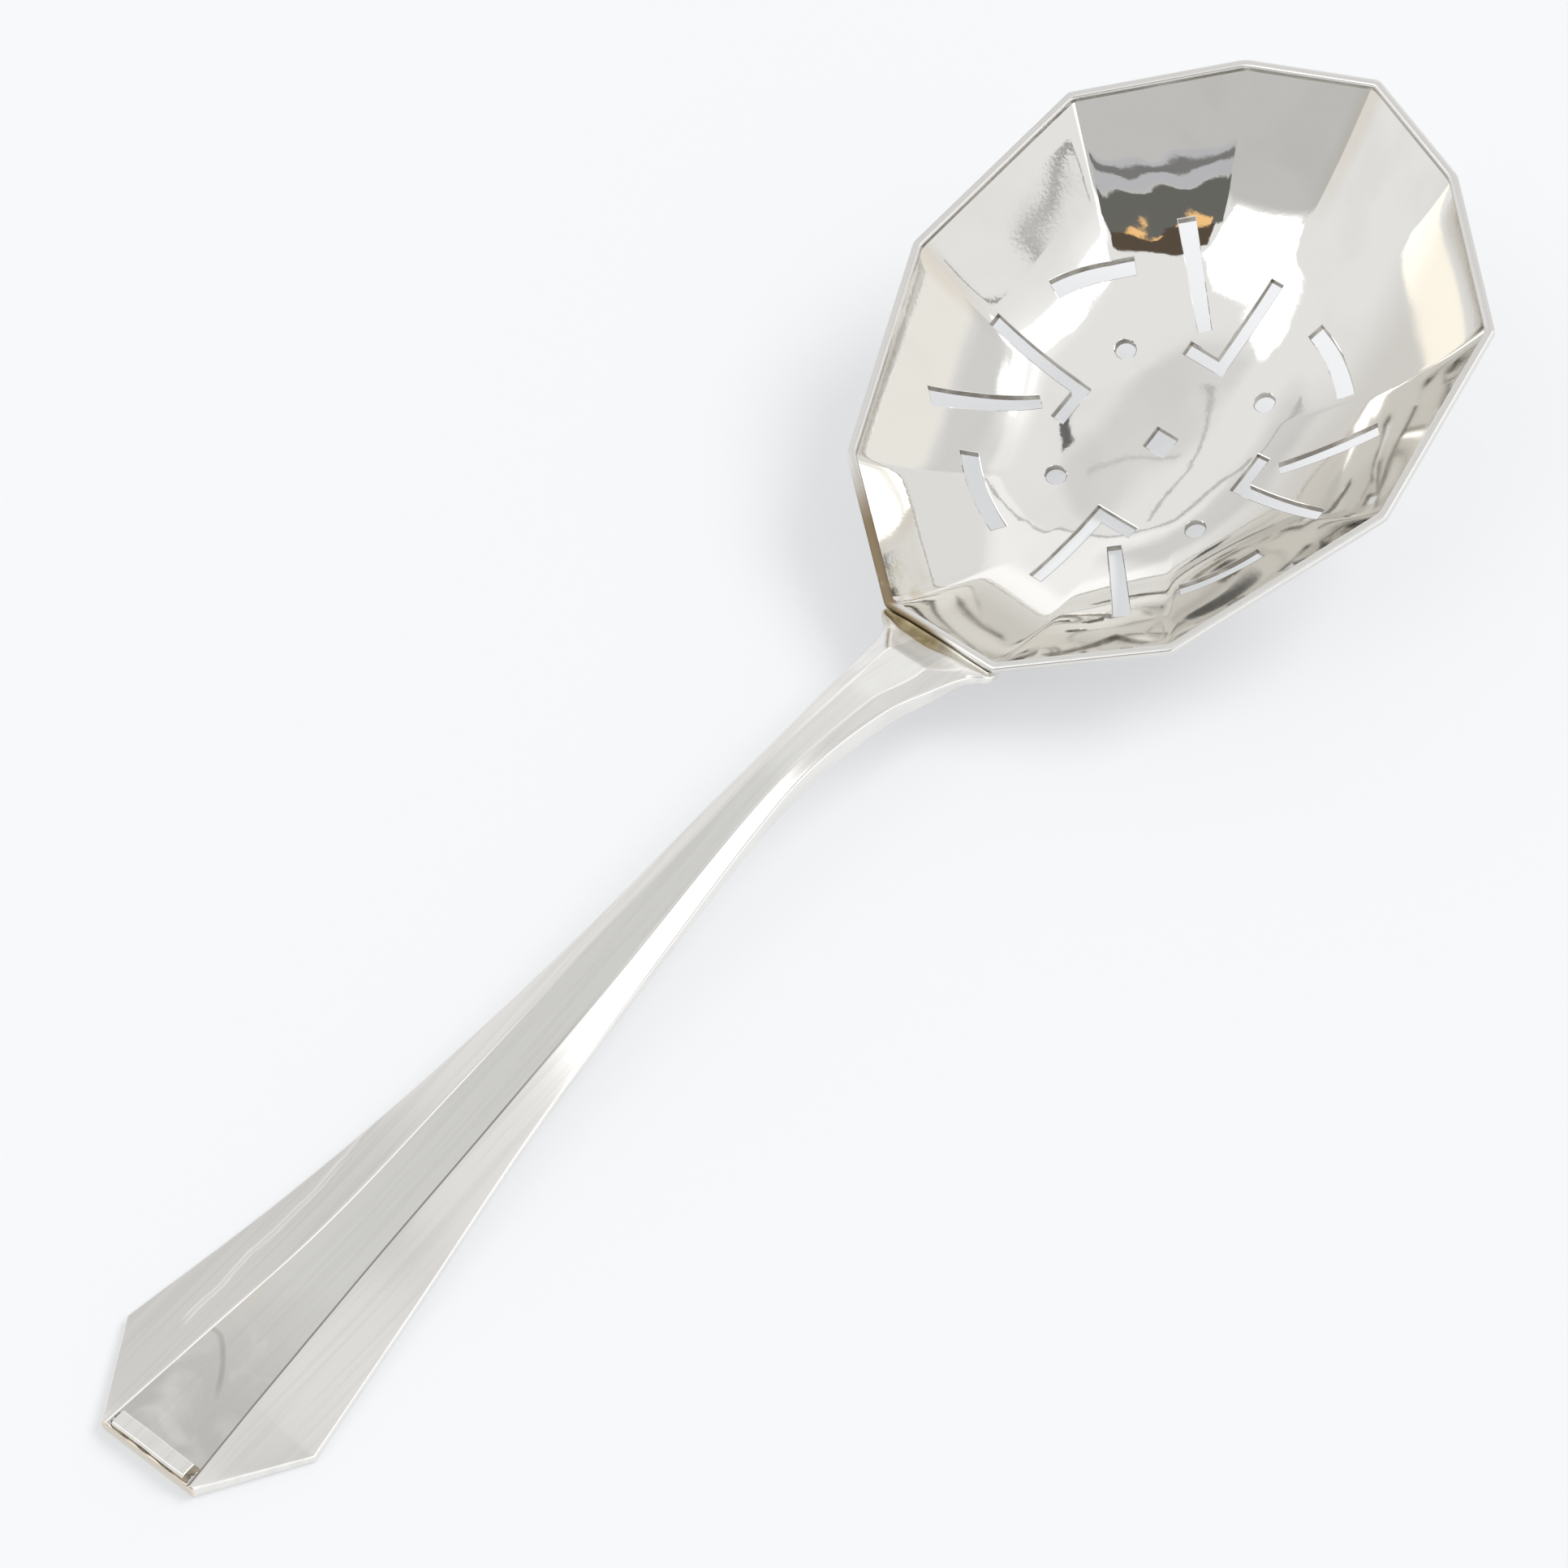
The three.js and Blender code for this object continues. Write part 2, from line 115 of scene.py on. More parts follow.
@dataclass(frozen=True)
class Placing:
    """A frame tilted about the sideways axis.

    Attributes:
        x: Its origin along the spoon.
        z: Its origin's height.
        tilt: How far its first axis rises, in radians.
    """

    x: float
    z: float
    tilt: float

    def to_spoon(self, points: Array) -> Array:
        """Carry points of this frame into the spoon's frame.

        Args:
            points: Points on the last axis.

        Returns:
            The points in the spoon's frame.
        """
        return self.turn(points) + np.array([self.x, 0.0, self.z])

    def turn(self, vectors: Array) -> Array:
        """Turn directions of this frame into the spoon's frame."""
        c, s = math.cos(self.tilt), math.sin(self.tilt)
        return vectors @ np.array([[c, 0.0, s], [0.0, 1.0, 0.0], [-s, 0.0, c]])

    def from_spoon(self, points: Array) -> Array:
        """Carry points of the spoon's frame into this frame.

        Args:
            points: Points on the last axis.

        Returns:
            The points in this frame.
        """
        c, s = math.cos(self.tilt), math.sin(self.tilt)
        moved = points - np.array([self.x, 0.0, self.z])
        return moved @ np.array([[c, 0.0, -s], [0.0, 1.0, 0.0], [s, 0.0, c]])


SPOON = Placing(0.0, 0.0, 0.0)


class MeshDraft:
    """The points and faces of one piece, gathered before its mesh is made.

    Faces come in groups. Inside a group the surface is shaded round, and groups meet in crisp edges.
    """

    def __init__(self) -> None:
        """Start with nothing."""
        self.points: list[Array] = []
        self.faces: list[Array] = []
        self.normals: list[Array] = []
        self.finishes: list[Array] = []
        self.marks: dict[str, Array] = {}
        self.count = 0

    def add_points(self, points: Array) -> Array:
        """Add points and give their numbers.

        Args:
            points: Points in the spoon's frame, in millimetres, on the last axis.

        Returns:
            Their numbers, in the shape of the points without the last axis.
        """
        flat = points.reshape(-1, 3)
        numbers = np.arange(self.count, self.count + len(flat)).reshape(points.shape[:-1])
        self.points.append(flat)
        self.count += len(flat)
        return numbers

    def add_faces(self, faces: Array, known: Array | None = None, flat: bool = False,
                  finish: int = 0) -> None:
        """Add a group of faces with the normals of their corners.

        A corner's normal is known, or the face's own if flat, or else the mean of the group's faces round
        that point, weighted by the square of their areas so that a broad face stays true beside a fillet.

        Args:
            faces: Point numbers, three or four to a face, seen counter-clockwise from outside.
            known: A normal for each point of the draft, if it is known.
            flat: Whether each face is shaded by itself.
            finish: Which of the piece's finishes the group has.
        """
        points = np.concatenate(self.points)
        corners = points[faces]
        areas = np.cross(corners[:, 2] - corners[:, 0], corners[:, -1] - corners[:, 1])
        if known is not None:
            normals = known[faces]
        elif flat:
            normals = np.repeat(areas[:, None], faces.shape[1], axis=1)
        else:
            sums = np.zeros_like(points)
            weighted = areas * np.linalg.norm(areas, axis=1, keepdims=True)
            for corner in range(faces.shape[1]):
                np.add.at(sums, faces[:, corner], weighted)
            normals = sums[faces]
        self.faces.append(faces)
        self.finishes.append(np.full(len(faces), finish))
        self.normals.append(unit(normals).reshape(-1, 3))

    def add_grid(self, numbers: Array, rows_close: bool = False, columns_close: bool = False) -> None:
        """Add the quads of a grid of points, seen from outside with rows going up and columns right.

        Args:
            numbers: Point numbers in rows and columns.
            rows_close: Whether the last row joins the first.
            columns_close: Whether the last column joins the first.
        """
        rows = np.vstack([numbers, numbers[:1]]) if rows_close else numbers
        grid = np.hstack([rows, rows[:, :1]]) if columns_close else rows
        quads = [grid[:-1, :-1], grid[:-1, 1:], grid[1:, 1:], grid[1:, :-1]]
        self.add_faces(np.stack(quads, axis=-1).reshape(-1, 4))

    def add_fan(self, ring: Array, middle: Array) -> None:
        """Close a ring with flat triangles to a middle point.

        Args:
            ring: Point numbers, counter-clockwise from outside.
            middle: The middle point.
        """
        centre = np.full(len(ring), self.add_points(middle[None])[0])
        self.add_faces(np.stack([ring, np.roll(ring, -1), centre], axis=-1), flat=True)

    def add_tube(self, points: Array, clockwise: bool = False) -> None:
        """Add rings of points, joined into a tube with flat ends.

        Args:
            points: Rings by points by three coordinates, counter-clockwise seen from the first end.
            clockwise: Whether the rings go the other way.
        """
        numbers = self.add_points(points)
        rings = numbers if clockwise else numbers[:, ::-1]
        self.add_grid(rings, columns_close=True)
        self.add_fan(rings[0][::-1], points[0].mean(axis=0))
        self.add_fan(rings[-1], points[-1].mean(axis=0))

    def to_piece(self, name: str, finishes: list[bpy.types.Material],
                 replaced: tuple[str, ...]) -> bpy.types.Object:
        """Make the object, dress it and tie it to the frame.

        Args:
            name: The piece's name.
            finishes: Its finishes, by their numbers.
            replaced: The nodes that it stands for.

        Returns:
            The new object.
        """
        mesh = bpy.data.meshes.new(name)
        loops = np.concatenate([group.ravel() for group in self.faces]).astype(np.int32)
        sizes = np.concatenate([np.full(len(group), group.shape[1]) for group in self.faces])
        starts = np.concatenate([[0], np.cumsum(sizes)[:-1]]).astype(np.int32)
        mesh.vertices.add(self.count)
        mesh.vertices.foreach_set("co", (np.concatenate(self.points) * METRES).astype(np.float32).ravel())
        mesh.loops.add(len(loops))
        mesh.loops.foreach_set("vertex_index", loops)
        mesh.polygons.add(len(sizes))
        mesh.polygons.foreach_set("loop_start", starts)
        mesh.polygons.foreach_set("material_index", np.concatenate(self.finishes).astype(np.int32))
        mesh.update(calc_edges=True)
        mesh.normals_split_custom_set(np.concatenate(self.normals))
        for mark, values in self.marks.items():
            shares = np.zeros(self.count, dtype=np.float32)
            shares[:values.size] = values.ravel()
            mesh.attributes.new(mark, "FLOAT", "POINT").data.foreach_set("value", shares)
        for finish in finishes:
            mesh.materials.append(finish)
        piece = bpy.data.objects.new(name, mesh)
        bpy.context.scene.collection.objects.link(piece)
        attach(piece, BODY)
        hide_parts(*replaced)
        LOG.info("%s: %d points, %d faces", name, self.count, len(sizes))
        return piece


class Signal:
    """A number that comes out of a node, with arithmetic that adds Math nodes."""

    def __init__(self, graph: "Graph", socket: bpy.types.NodeSocket) -> None:
        """Wrap a socket of a graph."""
        self.graph = graph
        self.socket = socket

    def _math(self, operation: str, first: "Signal | float", second: "Signal | float") -> "Signal":
        """Add a Math node and wrap its result."""
        return self.graph.number("ShaderNodeMath", {"operation": operation}, {0: first, 1: second})

    def __add__(self, other: "Signal | float") -> "Signal":
        """Sum."""
        return self._math("ADD", self, other)

    def __radd__(self, other: float) -> "Signal":
        """Sum with a number first."""
        return self._math("ADD", other, self)

    def __sub__(self, other: "Signal | float") -> "Signal":
        """Difference."""
        return self._math("SUBTRACT", self, other)

    def __rsub__(self, other: float) -> "Signal":
        """Difference from a number."""
        return self._math("SUBTRACT", other, self)

    def __mul__(self, other: "Signal | float") -> "Signal":
        """Product."""
        return self._math("MULTIPLY", self, other)

    def __rmul__(self, other: float) -> "Signal":
        """Product with a number first."""
        return self._math("MULTIPLY", other, self)

    def __abs__(self) -> "Signal":
        """Size without sign."""
        return self._math("ABSOLUTE", self, 0.0)

    def most(self, other: "Signal | float") -> "Signal":
        """The larger of two."""
        return self._math("MAXIMUM", self, other)

    def step(self, low: float, high: float) -> "Signal":
        """Ease from 0 at low to 1 at high.

        Args:
            low: Where the step starts; it may be above high, and the step then falls.
            high: Where the step ends.

        Returns:
            The eased number.
        """
        settings = {"interpolation_type": "SMOOTHSTEP"}
        if low <= high:
            return self.graph.number("ShaderNodeMapRange", settings, {"Value": self, 1: low, 2: high})
        return 1.0 - self.step(high, low)


class Graph:
    """A node tree that is being written."""

    def __init__(self, tree: bpy.types.NodeTree) -> None:
        """Empty a tree for new nodes."""
        self.tree = tree
        tree.nodes.clear()

    def add(self, kind: str, settings: dict | None = None, inputs: dict | None = None) -> bpy.types.Node:
        """Add a node.

        Args:
            kind: The node's type.
            settings: Its own settings, which are set first.
            inputs: Values or links for its sockets, by name or number.

        Returns:
            The node.
        """
        node = self.tree.nodes.new(kind)
        for name, value in (settings or {}).items():
            setattr(node, name, value)
        for key, value in (inputs or {}).items():
            if isinstance(value, Signal):
                self.tree.links.new(value.socket, node.inputs[key])
            elif isinstance(value, bpy.types.NodeSocket):
                self.tree.links.new(value, node.inputs[key])
            else:
                node.inputs[key].default_value = value
        return node

    def number(self, kind: str, settings: dict | None = None, inputs: dict | None = None,
               output: int | str = 0) -> Signal:
        """Add a node and wrap one of its outputs as a number."""
        return Signal(self, self.add(kind, settings, inputs).outputs[output])

    def mapped(self, place: Placing = SPOON,
               units: tuple[float, float, float] = (1.0, 1.0, 1.0)) -> bpy.types.NodeSocket:
        """Object coordinates in a frame of their own.

        Args:
            place: The frame.
            units: The length of one unit along each of its axes, in millimetres.

        Returns:
            The coordinates in that frame.
        """
        inputs = {
            "Vector": self.add("ShaderNodeTexCoord").outputs["Object"],
            "Location": (place.x * METRES, 0.0, place.z * METRES),
            "Rotation": (0.0, -place.tilt, 0.0),
            "Scale": tuple(length * METRES for length in units),
        }
        return self.add("ShaderNodeMapping", {"vector_type": "TEXTURE"}, inputs).outputs[0]

    def mark(self, name: str) -> Signal:
        """A mark that the piece's points carry."""
        return self.number("ShaderNodeAttribute", {"attribute_name": name}, {}, "Fac")

    def axes(self, vector: bpy.types.NodeSocket) -> list[Signal]:
        """A vector's three numbers."""
        node = self.add("ShaderNodeSeparateXYZ", {}, {0: vector})
        return [Signal(self, socket) for socket in node.outputs]

    def noise(self, vector: bpy.types.NodeSocket, scale: float, detail: float,
              distortion: float) -> Signal:
        """Cloudy noise from about 0 to 1.

        Args:
            vector: Where it is read.
            scale: Blotches to a unit.
            detail: How many finer layers it has.
            distortion: How much it swirls.

        Returns:
            The noise.
        """
        inputs = {"Vector": vector, "Scale": scale, "Detail": detail, "Distortion": distortion}
        return self.number("ShaderNodeTexNoise", {}, inputs)

    def mix(self, factor: Signal, first: "Colour | bpy.types.NodeSocket",
            second: "Colour | bpy.types.NodeSocket") -> bpy.types.NodeSocket:
        """Mix two colours.

        Args:
            factor: 0 gives the first and 1 the second.
            first: A colour.
            second: A colour.

        Returns:
            The mixed colour.
        """
        inputs = {0: factor, 6: first, 7: second}
        return self.add("ShaderNodeMix", {"data_type": "RGBA"}, inputs).outputs[2]


def new_material(name: str) -> tuple[bpy.types.Material, Graph]:
    """Make an empty node material.

    Args:
        name: Its name.

    Returns:
        The material and its graph.
    """
    material = bpy.data.materials.new(name)
    material.use_nodes = True
    return material, Graph(material.node_tree)


def metal(graph: Graph, colour: "Colour | bpy.types.NodeSocket", roughness: "Signal | float",
          relief: Signal, depth: float, strength: float = 1.0) -> None:
    """Close a graph with a bare metal surface.

    Args:
        graph: The material's graph.
        colour: The metal's colour.
        roughness: How satin it is.
        relief: A height from 0 to 1.
        depth: The height's size, in metres.
        strength: How much of the relief shows.
    """
    bump = graph.add("ShaderNodeBump", {}, {"Strength": strength, "Distance": depth, "Height": relief})
    inputs = {"Base Color": colour, "Metallic": 1.0, "Roughness": roughness, "Normal": bump.outputs[0]}
    surface = graph.add("ShaderNodeBsdfPrincipled", {}, inputs)
    graph.add("ShaderNodeOutputMaterial", {}, {"Surface": surface.outputs[0]})


@dataclass(frozen=True)
class BowlSilver:
    """Mirror-polished silver with hairlines, smears and a little warm tarnish near the joint.

    The right-hand wall and the facet by the joint are rougher than the rest and carry painted shade, a darker
    colour, with clouded borders, and two creases are browned. A pair says where a mask starts and where it is
    full, in millimetres of the bowl's frame, in shares of a crease or in a noise's values.
    """

    colour: Colour = (0.93, 0.92, 0.89, 1.0)
    smear: Colour = (0.84, 0.82, 0.78, 1.0)
    tarnish: Colour = (0.62, 0.50, 0.28, 1.0)
    # Painted shade: the darker colour of the right-hand wall and the facet by the joint.
    dull_shade: Colour = (0.74, 0.715, 0.67, 1.0)
    browned: Colour = (0.80, 0.74, 0.65, 1.0)
    clouds: Noise = (0.07, 3.0, 0.6)
    hairlines: Noise = (2.2, 4.0, 0.0)
    blotches: Noise = (0.5, 3.0, 0.0)
    smear_clouds: Pair = (0.5, 0.75)
    smear_share: float = 0.5
    stain_along: Pair = (9.0, 0.0)
    stain_across: Pair = (2.0, 7.0)
    stain_blotches: Pair = (0.35, 0.7)
    stain_share: float = 0.7
    right_wall: Pair = (-8.0, -15.0)
    right_clouding: float = 6.0
    joint_wall: Pair = (16.0, 10.0)
    joint_clouding: float = 4.0
    joint_side: Pair = (7.0, 2.0)
    shade_share: float = 0.9
    crease_run: Pair = (0.6, 0.9)
    crease_width: Pair = (2.2, 0.3)
    crease_share: float = 0.6
    roughness: float = 0.025
    haze_clouds: Pair = (0.4, 0.8)
    haze_hairlines: Pair = (0.5, 0.8)
    cloud_roughness: float = 0.03
    hairline_roughness: float = 0.02
    dull_roughness: float = 0.035
    relief: float = 0.000004
    relief_share: float = 0.35

    def crease(self, along: Signal, across: Signal, corner: Array) -> Signal:
        """A line along a crease's outer part, from 0 to 1.

        Args:
            along: Places along the bowl from its deepest one.
            across: Places across it.
            corner: The rim's corner that the crease runs to, from the deepest place.

        Returns:
            The line's mask.
        """
        run = unit(corner)
        reach = float(np.linalg.norm(corner))
        start, full = self.crease_run
        outer = (along * run[0] + across * run[1]).step(start * reach, full * reach)
        return abs(along * run[1] - across * run[0]).step(*self.crease_width) * outer

    def material(self, place: Placing, centre: float, corners: Array) -> bpy.types.Material:
        """Write the material in the bowl's frame.

        Args:
            place: The bowl's frame.
            centre: How far along the bowl its deepest place is.
            corners: The rim's two corners whose creases are browned.

        Returns:
            The material.
        """
        material, graph = new_material("bowl_silver")
        inside = graph.mapped(place)
        along, across, _ = graph.axes(inside)
        cloud = graph.noise(inside, *self.clouds)
        fine = graph.noise(inside, *self.hairlines)
        smears = cloud.step(*self.smear_clouds) * self.smear_share
        near_joint = along.step(*self.stain_along) * across.step(*self.stain_across)
        blotches = graph.noise(inside, *self.blotches).step(*self.stain_blotches)
        stain = near_joint * blotches * self.stain_share
        right_wall = (across + cloud * self.right_clouding).step(*self.right_wall)
        joint_wall = (along + cloud * self.joint_clouding).step(*self.joint_wall)
        # Painted shade: the right-hand wall and the joint facet get a darker colour; the same mask makes them
        # rougher.
        dull_and_shade = right_wall.most(joint_wall * across.step(*self.joint_side))
        smeared = graph.mix(smears, self.colour, self.smear)
        dull_shade = graph.mix(dull_and_shade * self.shade_share, smeared, self.dull_shade)
        first, second = (self.crease(along - centre, across, corner - (centre, 0.0)) for corner in corners)
        creased = graph.mix(first.most(second) * self.crease_share, dull_shade, self.browned)
        colour = graph.mix(stain, creased, self.tarnish)
        hazed = self.roughness + cloud.step(*self.haze_clouds) * self.cloud_roughness
        polish = hazed + fine.step(*self.haze_hairlines) * self.hairline_roughness
        roughness = polish + dull_and_shade * self.dull_roughness
        metal(graph, colour, roughness, fine, self.relief, self.relief_share)
        return material


@dataclass(frozen=True)
class SawnSilver:
    """The walls of the saw cuts, dull and darkened where polish does not reach."""

    colour: Colour = (0.56, 0.53, 0.48, 1.0)
    dark: Colour = (0.27, 0.24, 0.20, 1.0)
    clouds: Noise = (0.3, 3.0, 0.0)
    pale_clouds: Pair = (0.35, 0.65)
    grain: Noise = (4.0, 2.0, 0.0)
    roughness: float = 0.3
    relief: float = 0.00003
    relief_share: float = 0.4

    def material(self) -> bpy.types.Material:
        """Write the material.

        Returns:
            The material.
        """
        material, graph = new_material("sawn_silver")
        place = graph.mapped()
        cloud = graph.noise(place, *self.clouds)
        colour = graph.mix(cloud.step(*self.pale_clouds), self.dark, self.colour)
        grain = graph.noise(place, *self.grain)
        metal(graph, colour, self.roughness, grain, self.relief, self.relief_share)
        return material


@dataclass(frozen=True)
class WireSilver:
    """Drawn silver, browned along the left side of the joint."""

    colour: Colour = (0.81, 0.80, 0.775, 1.0)
    tarnish: Colour = (0.27, 0.19, 0.09, 1.0)
    clouds: Noise = (0.35, 3.0, 0.0)
    grain: Noise = (1.6, 3.0, 0.0)
    stain_start: Pair = (-1.0, 0.0)
    stain_end: Pair = (1.0, 0.5)
    stain_width: Pair = (2.0, 1.2)
    stain_clouds: Pair = (0.15, 0.45)
    joint_along: Pair = (0.7, 0.25)
    joint_across: Pair = (-3.0, 2.0)
    stain_share: float = 0.9
    roughness: float = 0.24
    cloud_roughness: float = 0.1
    stain_roughness: float = 0.25
    relief: float = 0.00002
    relief_share: float = 0.3

    def material(self, place: Placing, edge: tuple[Array, Array]) -> bpy.types.Material:
        """Write the material in the frame of the browned edge.

        Args:
            place: The bowl's frame.
            edge: The browned edge's two corners in the bowl's frame, joint end first.

        Returns:
            The material.
        """
        material, graph = new_material("wire_silver")
        start, end = edge
        inside = graph.mapped(place)
        along, across, _ = graph.axes(inside)
        run = unit(end - start)
        forward = (along - start[0]) * run[0] + (across - start[1]) * run[1]
        inward = (along - start[0]) * run[1] - (across - start[1]) * run[0]
        cloud = graph.noise(inside, *self.clouds)
        reach = float(np.linalg.norm(end - start))
        last, full = self.stain_end
        stretch = forward.step(*self.stain_start) * forward.step(last * reach, full * reach)
        joint = along.step(*self.joint_along) * across.step(*self.joint_across)
        band = stretch * inward.step(*self.stain_width) * cloud.step(*self.stain_clouds)
        stain = band.most(joint)
        colour = graph.mix(stain * self.stain_share, self.colour, self.tarnish)
        roughness = self.roughness + cloud * self.cloud_roughness + stain * self.stain_roughness
        metal(graph, colour, roughness, graph.noise(inside, *self.grain), self.relief, self.relief_share)
        return material


@dataclass(frozen=True)
class HandleSilver:
    """Polished silver whose flat panel is satin, with smears near the end, brown at the joint, and painted
    shade in the groove along the panel's right edge.

    A burr left by the file runs along the left bevel, a swirl of dirt lies on the panel beyond the bar, and a
    warm painted sheen lies along the panel's left side.
    A pair says where a mask starts and where it is full, in millimetres from the end edge or across the
    handle, or in a noise's values.
    """

    colour: Colour = (0.90, 0.885, 0.855, 1.0)
    satin: Colour = (0.785, 0.78, 0.757, 1.0)
    smear: Colour = (0.58, 0.57, 0.55, 1.0)
    tarnish: Colour = (0.40, 0.31, 0.17, 1.0)
    # Shared by the swirl of dirt and the painted shade in the groove.
    dirt_and_shade: Colour = (0.24, 0.21, 0.17, 1.0)
    # A warm tint, for the painted sheen on the panel and for the end face.
    warm_tint: Colour = (0.86, 0.78, 0.66, 1.0)
    stroke: tuple[float, float, float] = (14.0, 0.25, 1.0)
    strokes: Noise = (1.0, 4.0, 0.0)
    grain: Noise = (0.35, 3.0, 0.0)
    grain_strokes: Pair = (0.42, 0.66)
    grain_share: float = 0.16
    clouds: Noise = (0.16, 3.0, 0.8)
    end_zone: Pair = (30.0, 3.0)
    smear_clouds: Pair = (0.3, 0.6)
    smear_share: float = 0.8
    # Where the groove's painted shade fades out up the stem, and how dark it is.
    groove_shade_zone: Pair = (70.0, 50.0)
    groove_shade_share: float = 0.85
    joint_zone: float = 3.0
    stain_side: Pair = (-4.0, 3.0)
    stain_clouds: Pair = (0.25, 0.55)
    stain_share: float = 0.6
    # The painted sheen: a warm band along the panel's left side, partway up the stem.
    sheen_side: Pair = (1.6, 4.2)
    sheen_start: Pair = (8.0, 20.0)
    sheen_end: Pair = (60.0, 40.0)
    sheen_clouds: Pair = (0.3, 0.7)
    sheen_share: float = 0.4
    # How far from the end edge the end face's tan tint reaches.
    end_face_tint: Pair = (0.25, 0.1)
    swirls: Noise = (0.1, 1.0, 0.6)
    swirl_width: Pair = (0.025, 0.005)
    swirl_start: Pair = (8.0, 11.0)
    swirl_end: Pair = (19.0, 15.0)
    swirl_share: float = 0.3
    burr_side: float = 7.5
    burr_waves: Noise = (0.14, 2.0, 0.0)
    burr_sway: float = 1.6
    burr_width: Pair = (0.45, 0.0)
    burr_start: Pair = (12.0, 15.0)
    burr_end: Pair = (48.0, 30.0)
    roughness: float = 0.18
    end_roughness: float = 0.08
    stroke_roughness: float = 0.05
    relief: float = 0.00005
    stroke_relief: float = 0.02
    end_relief: float = 0.05

    def material(self, end_x: float, joint: Placing) -> bpy.types.Material:
        """Write the material in a frame that starts at the end edge.

        Args:
            end_x: Where the end edge is, in millimetres.
            joint: The bowl's frame, whose origin is on the joint edge.

        Returns:
            The material.
        """
        material, graph = new_material("handle_silver")
        along_it = graph.mapped(Placing(end_x, 0.0, 0.0))
        brushed = graph.mapped(units=self.stroke)
        along, across, _ = graph.axes(along_it)
        strokes = graph.noise(brushed, *self.strokes)
        grain = graph.noise(brushed, *self.grain).step(*self.grain_strokes)
        cloud = graph.noise(along_it, *self.clouds)
        panel = graph.mark("panel")
        near_end = along.step(*self.end_zone) * panel
        # The groove along the panel's right edge, where shade is painted.
        shaded_groove = graph.mark("shaded_groove") * along.step(*self.groove_shade_zone)
        at_joint = along.step(joint.x - end_x - self.joint_zone, joint.x - end_x)
        left = across.step(*self.stain_side)
        stain = at_joint * left * cloud.step(*self.stain_clouds) * self.stain_share
        smears = near_end * cloud.step(*self.smear_clouds)
        side = panel * across.step(*self.sheen_side)
        # Painted sheen: a warm clouded band on the panel's left side.
        left_sheen = side * along.step(*self.sheen_start) * along.step(*self.sheen_end)
        faced = graph.mix(grain * self.grain_share, graph.mix(panel, self.colour, self.satin), self.smear)
        swirl = abs(graph.noise(along_it, *self.swirls) - NOISE_MIDDLE).step(*self.swirl_width)
        scrawl = swirl * panel * along.step(*self.swirl_start) * along.step(*self.swirl_end)
        dirt_and_shade = scrawl * self.swirl_share
        smeared = graph.mix(dirt_and_shade, graph.mix(smears * self.smear_share, faced, self.smear), self.dirt_and_shade)
        warm_tint = left_sheen * cloud.step(*self.sheen_clouds) * self.sheen_share
        # Mix in the warm tint: the painted sheen, and a tan tint on the end face.
        warmed = graph.mix(warm_tint.most(along.step(*self.end_face_tint)), smeared, self.warm_tint)
        # Painted shade: a near-black line in the groove along the panel's right edge.
        dark = shaded_groove * self.groove_shade_share
        colour = graph.mix(dark, graph.mix(stain, warmed, self.tarnish), self.dirt_and_shade)
        ended = self.roughness + near_end * self.end_roughness
        roughness = ended + strokes * panel * self.stroke_roughness
        sway = (graph.noise(along_it, *self.burr_waves) - NOISE_MIDDLE) * self.burr_sway
        gap = abs(across - self.burr_side - sway).step(*self.burr_width)
        burr = gap * along.step(*self.burr_start) * along.step(*self.burr_end)
        relief = burr + strokes * panel * (self.stroke_relief + near_end * self.end_relief)
        metal(graph, colour, roughness, relief, self.relief)
        return material


@dataclass(frozen=True)
class Solder:
    """Old silver solder, gone golden brown or nearly black."""

    name: str
    pale: Colour
    dark: Colour
    roughness: float
    clean: Colour = (0.74, 0.71, 0.64, 1.0)
    clean_side: float = -20.0
    clean_fade: float = 2.5
    clouds: Noise = (0.55, 3.0, 0.4)
    pale_clouds: Pair = (0.35, 0.65)
    grain: Noise = (1.4, 2.0, 0.0)
    cloud_roughness: float = 0.15
    relief: float = 0.00003
    relief_share: float = 0.3

    def material(self) -> bpy.types.Material:
        """Write the material, brown on the left and clean to the right of the clean side.

        Returns:
            The material.
        """
        material, graph = new_material(self.name)
        place = graph.mapped()
        across = graph.axes(place)[1]
        cloud = graph.noise(place, *self.clouds)
        browned = graph.mix(cloud.step(*self.pale_clouds), self.dark, self.pale)
        right = across.step(self.clean_side + self.clean_fade, self.clean_side - self.clean_fade)
        colour = graph.mix(right, browned, self.clean)
        roughness = self.roughness + cloud * self.cloud_roughness
        metal(graph, colour, roughness, graph.noise(place, *self.grain), self.relief, self.relief_share)
        return material


@dataclass
class SheetSide:
    """One side of the bowl's sheet.

    Attributes:
        rim: The point numbers of its edge.
        cuts: The point numbers of the cuts' edges.
        triangles: The point numbers of its faces, seen from above.
        normals: Its points' upward normals.
    """

    rim: Array
    cuts: list[Array]
    triangles: Array
    normals: Array


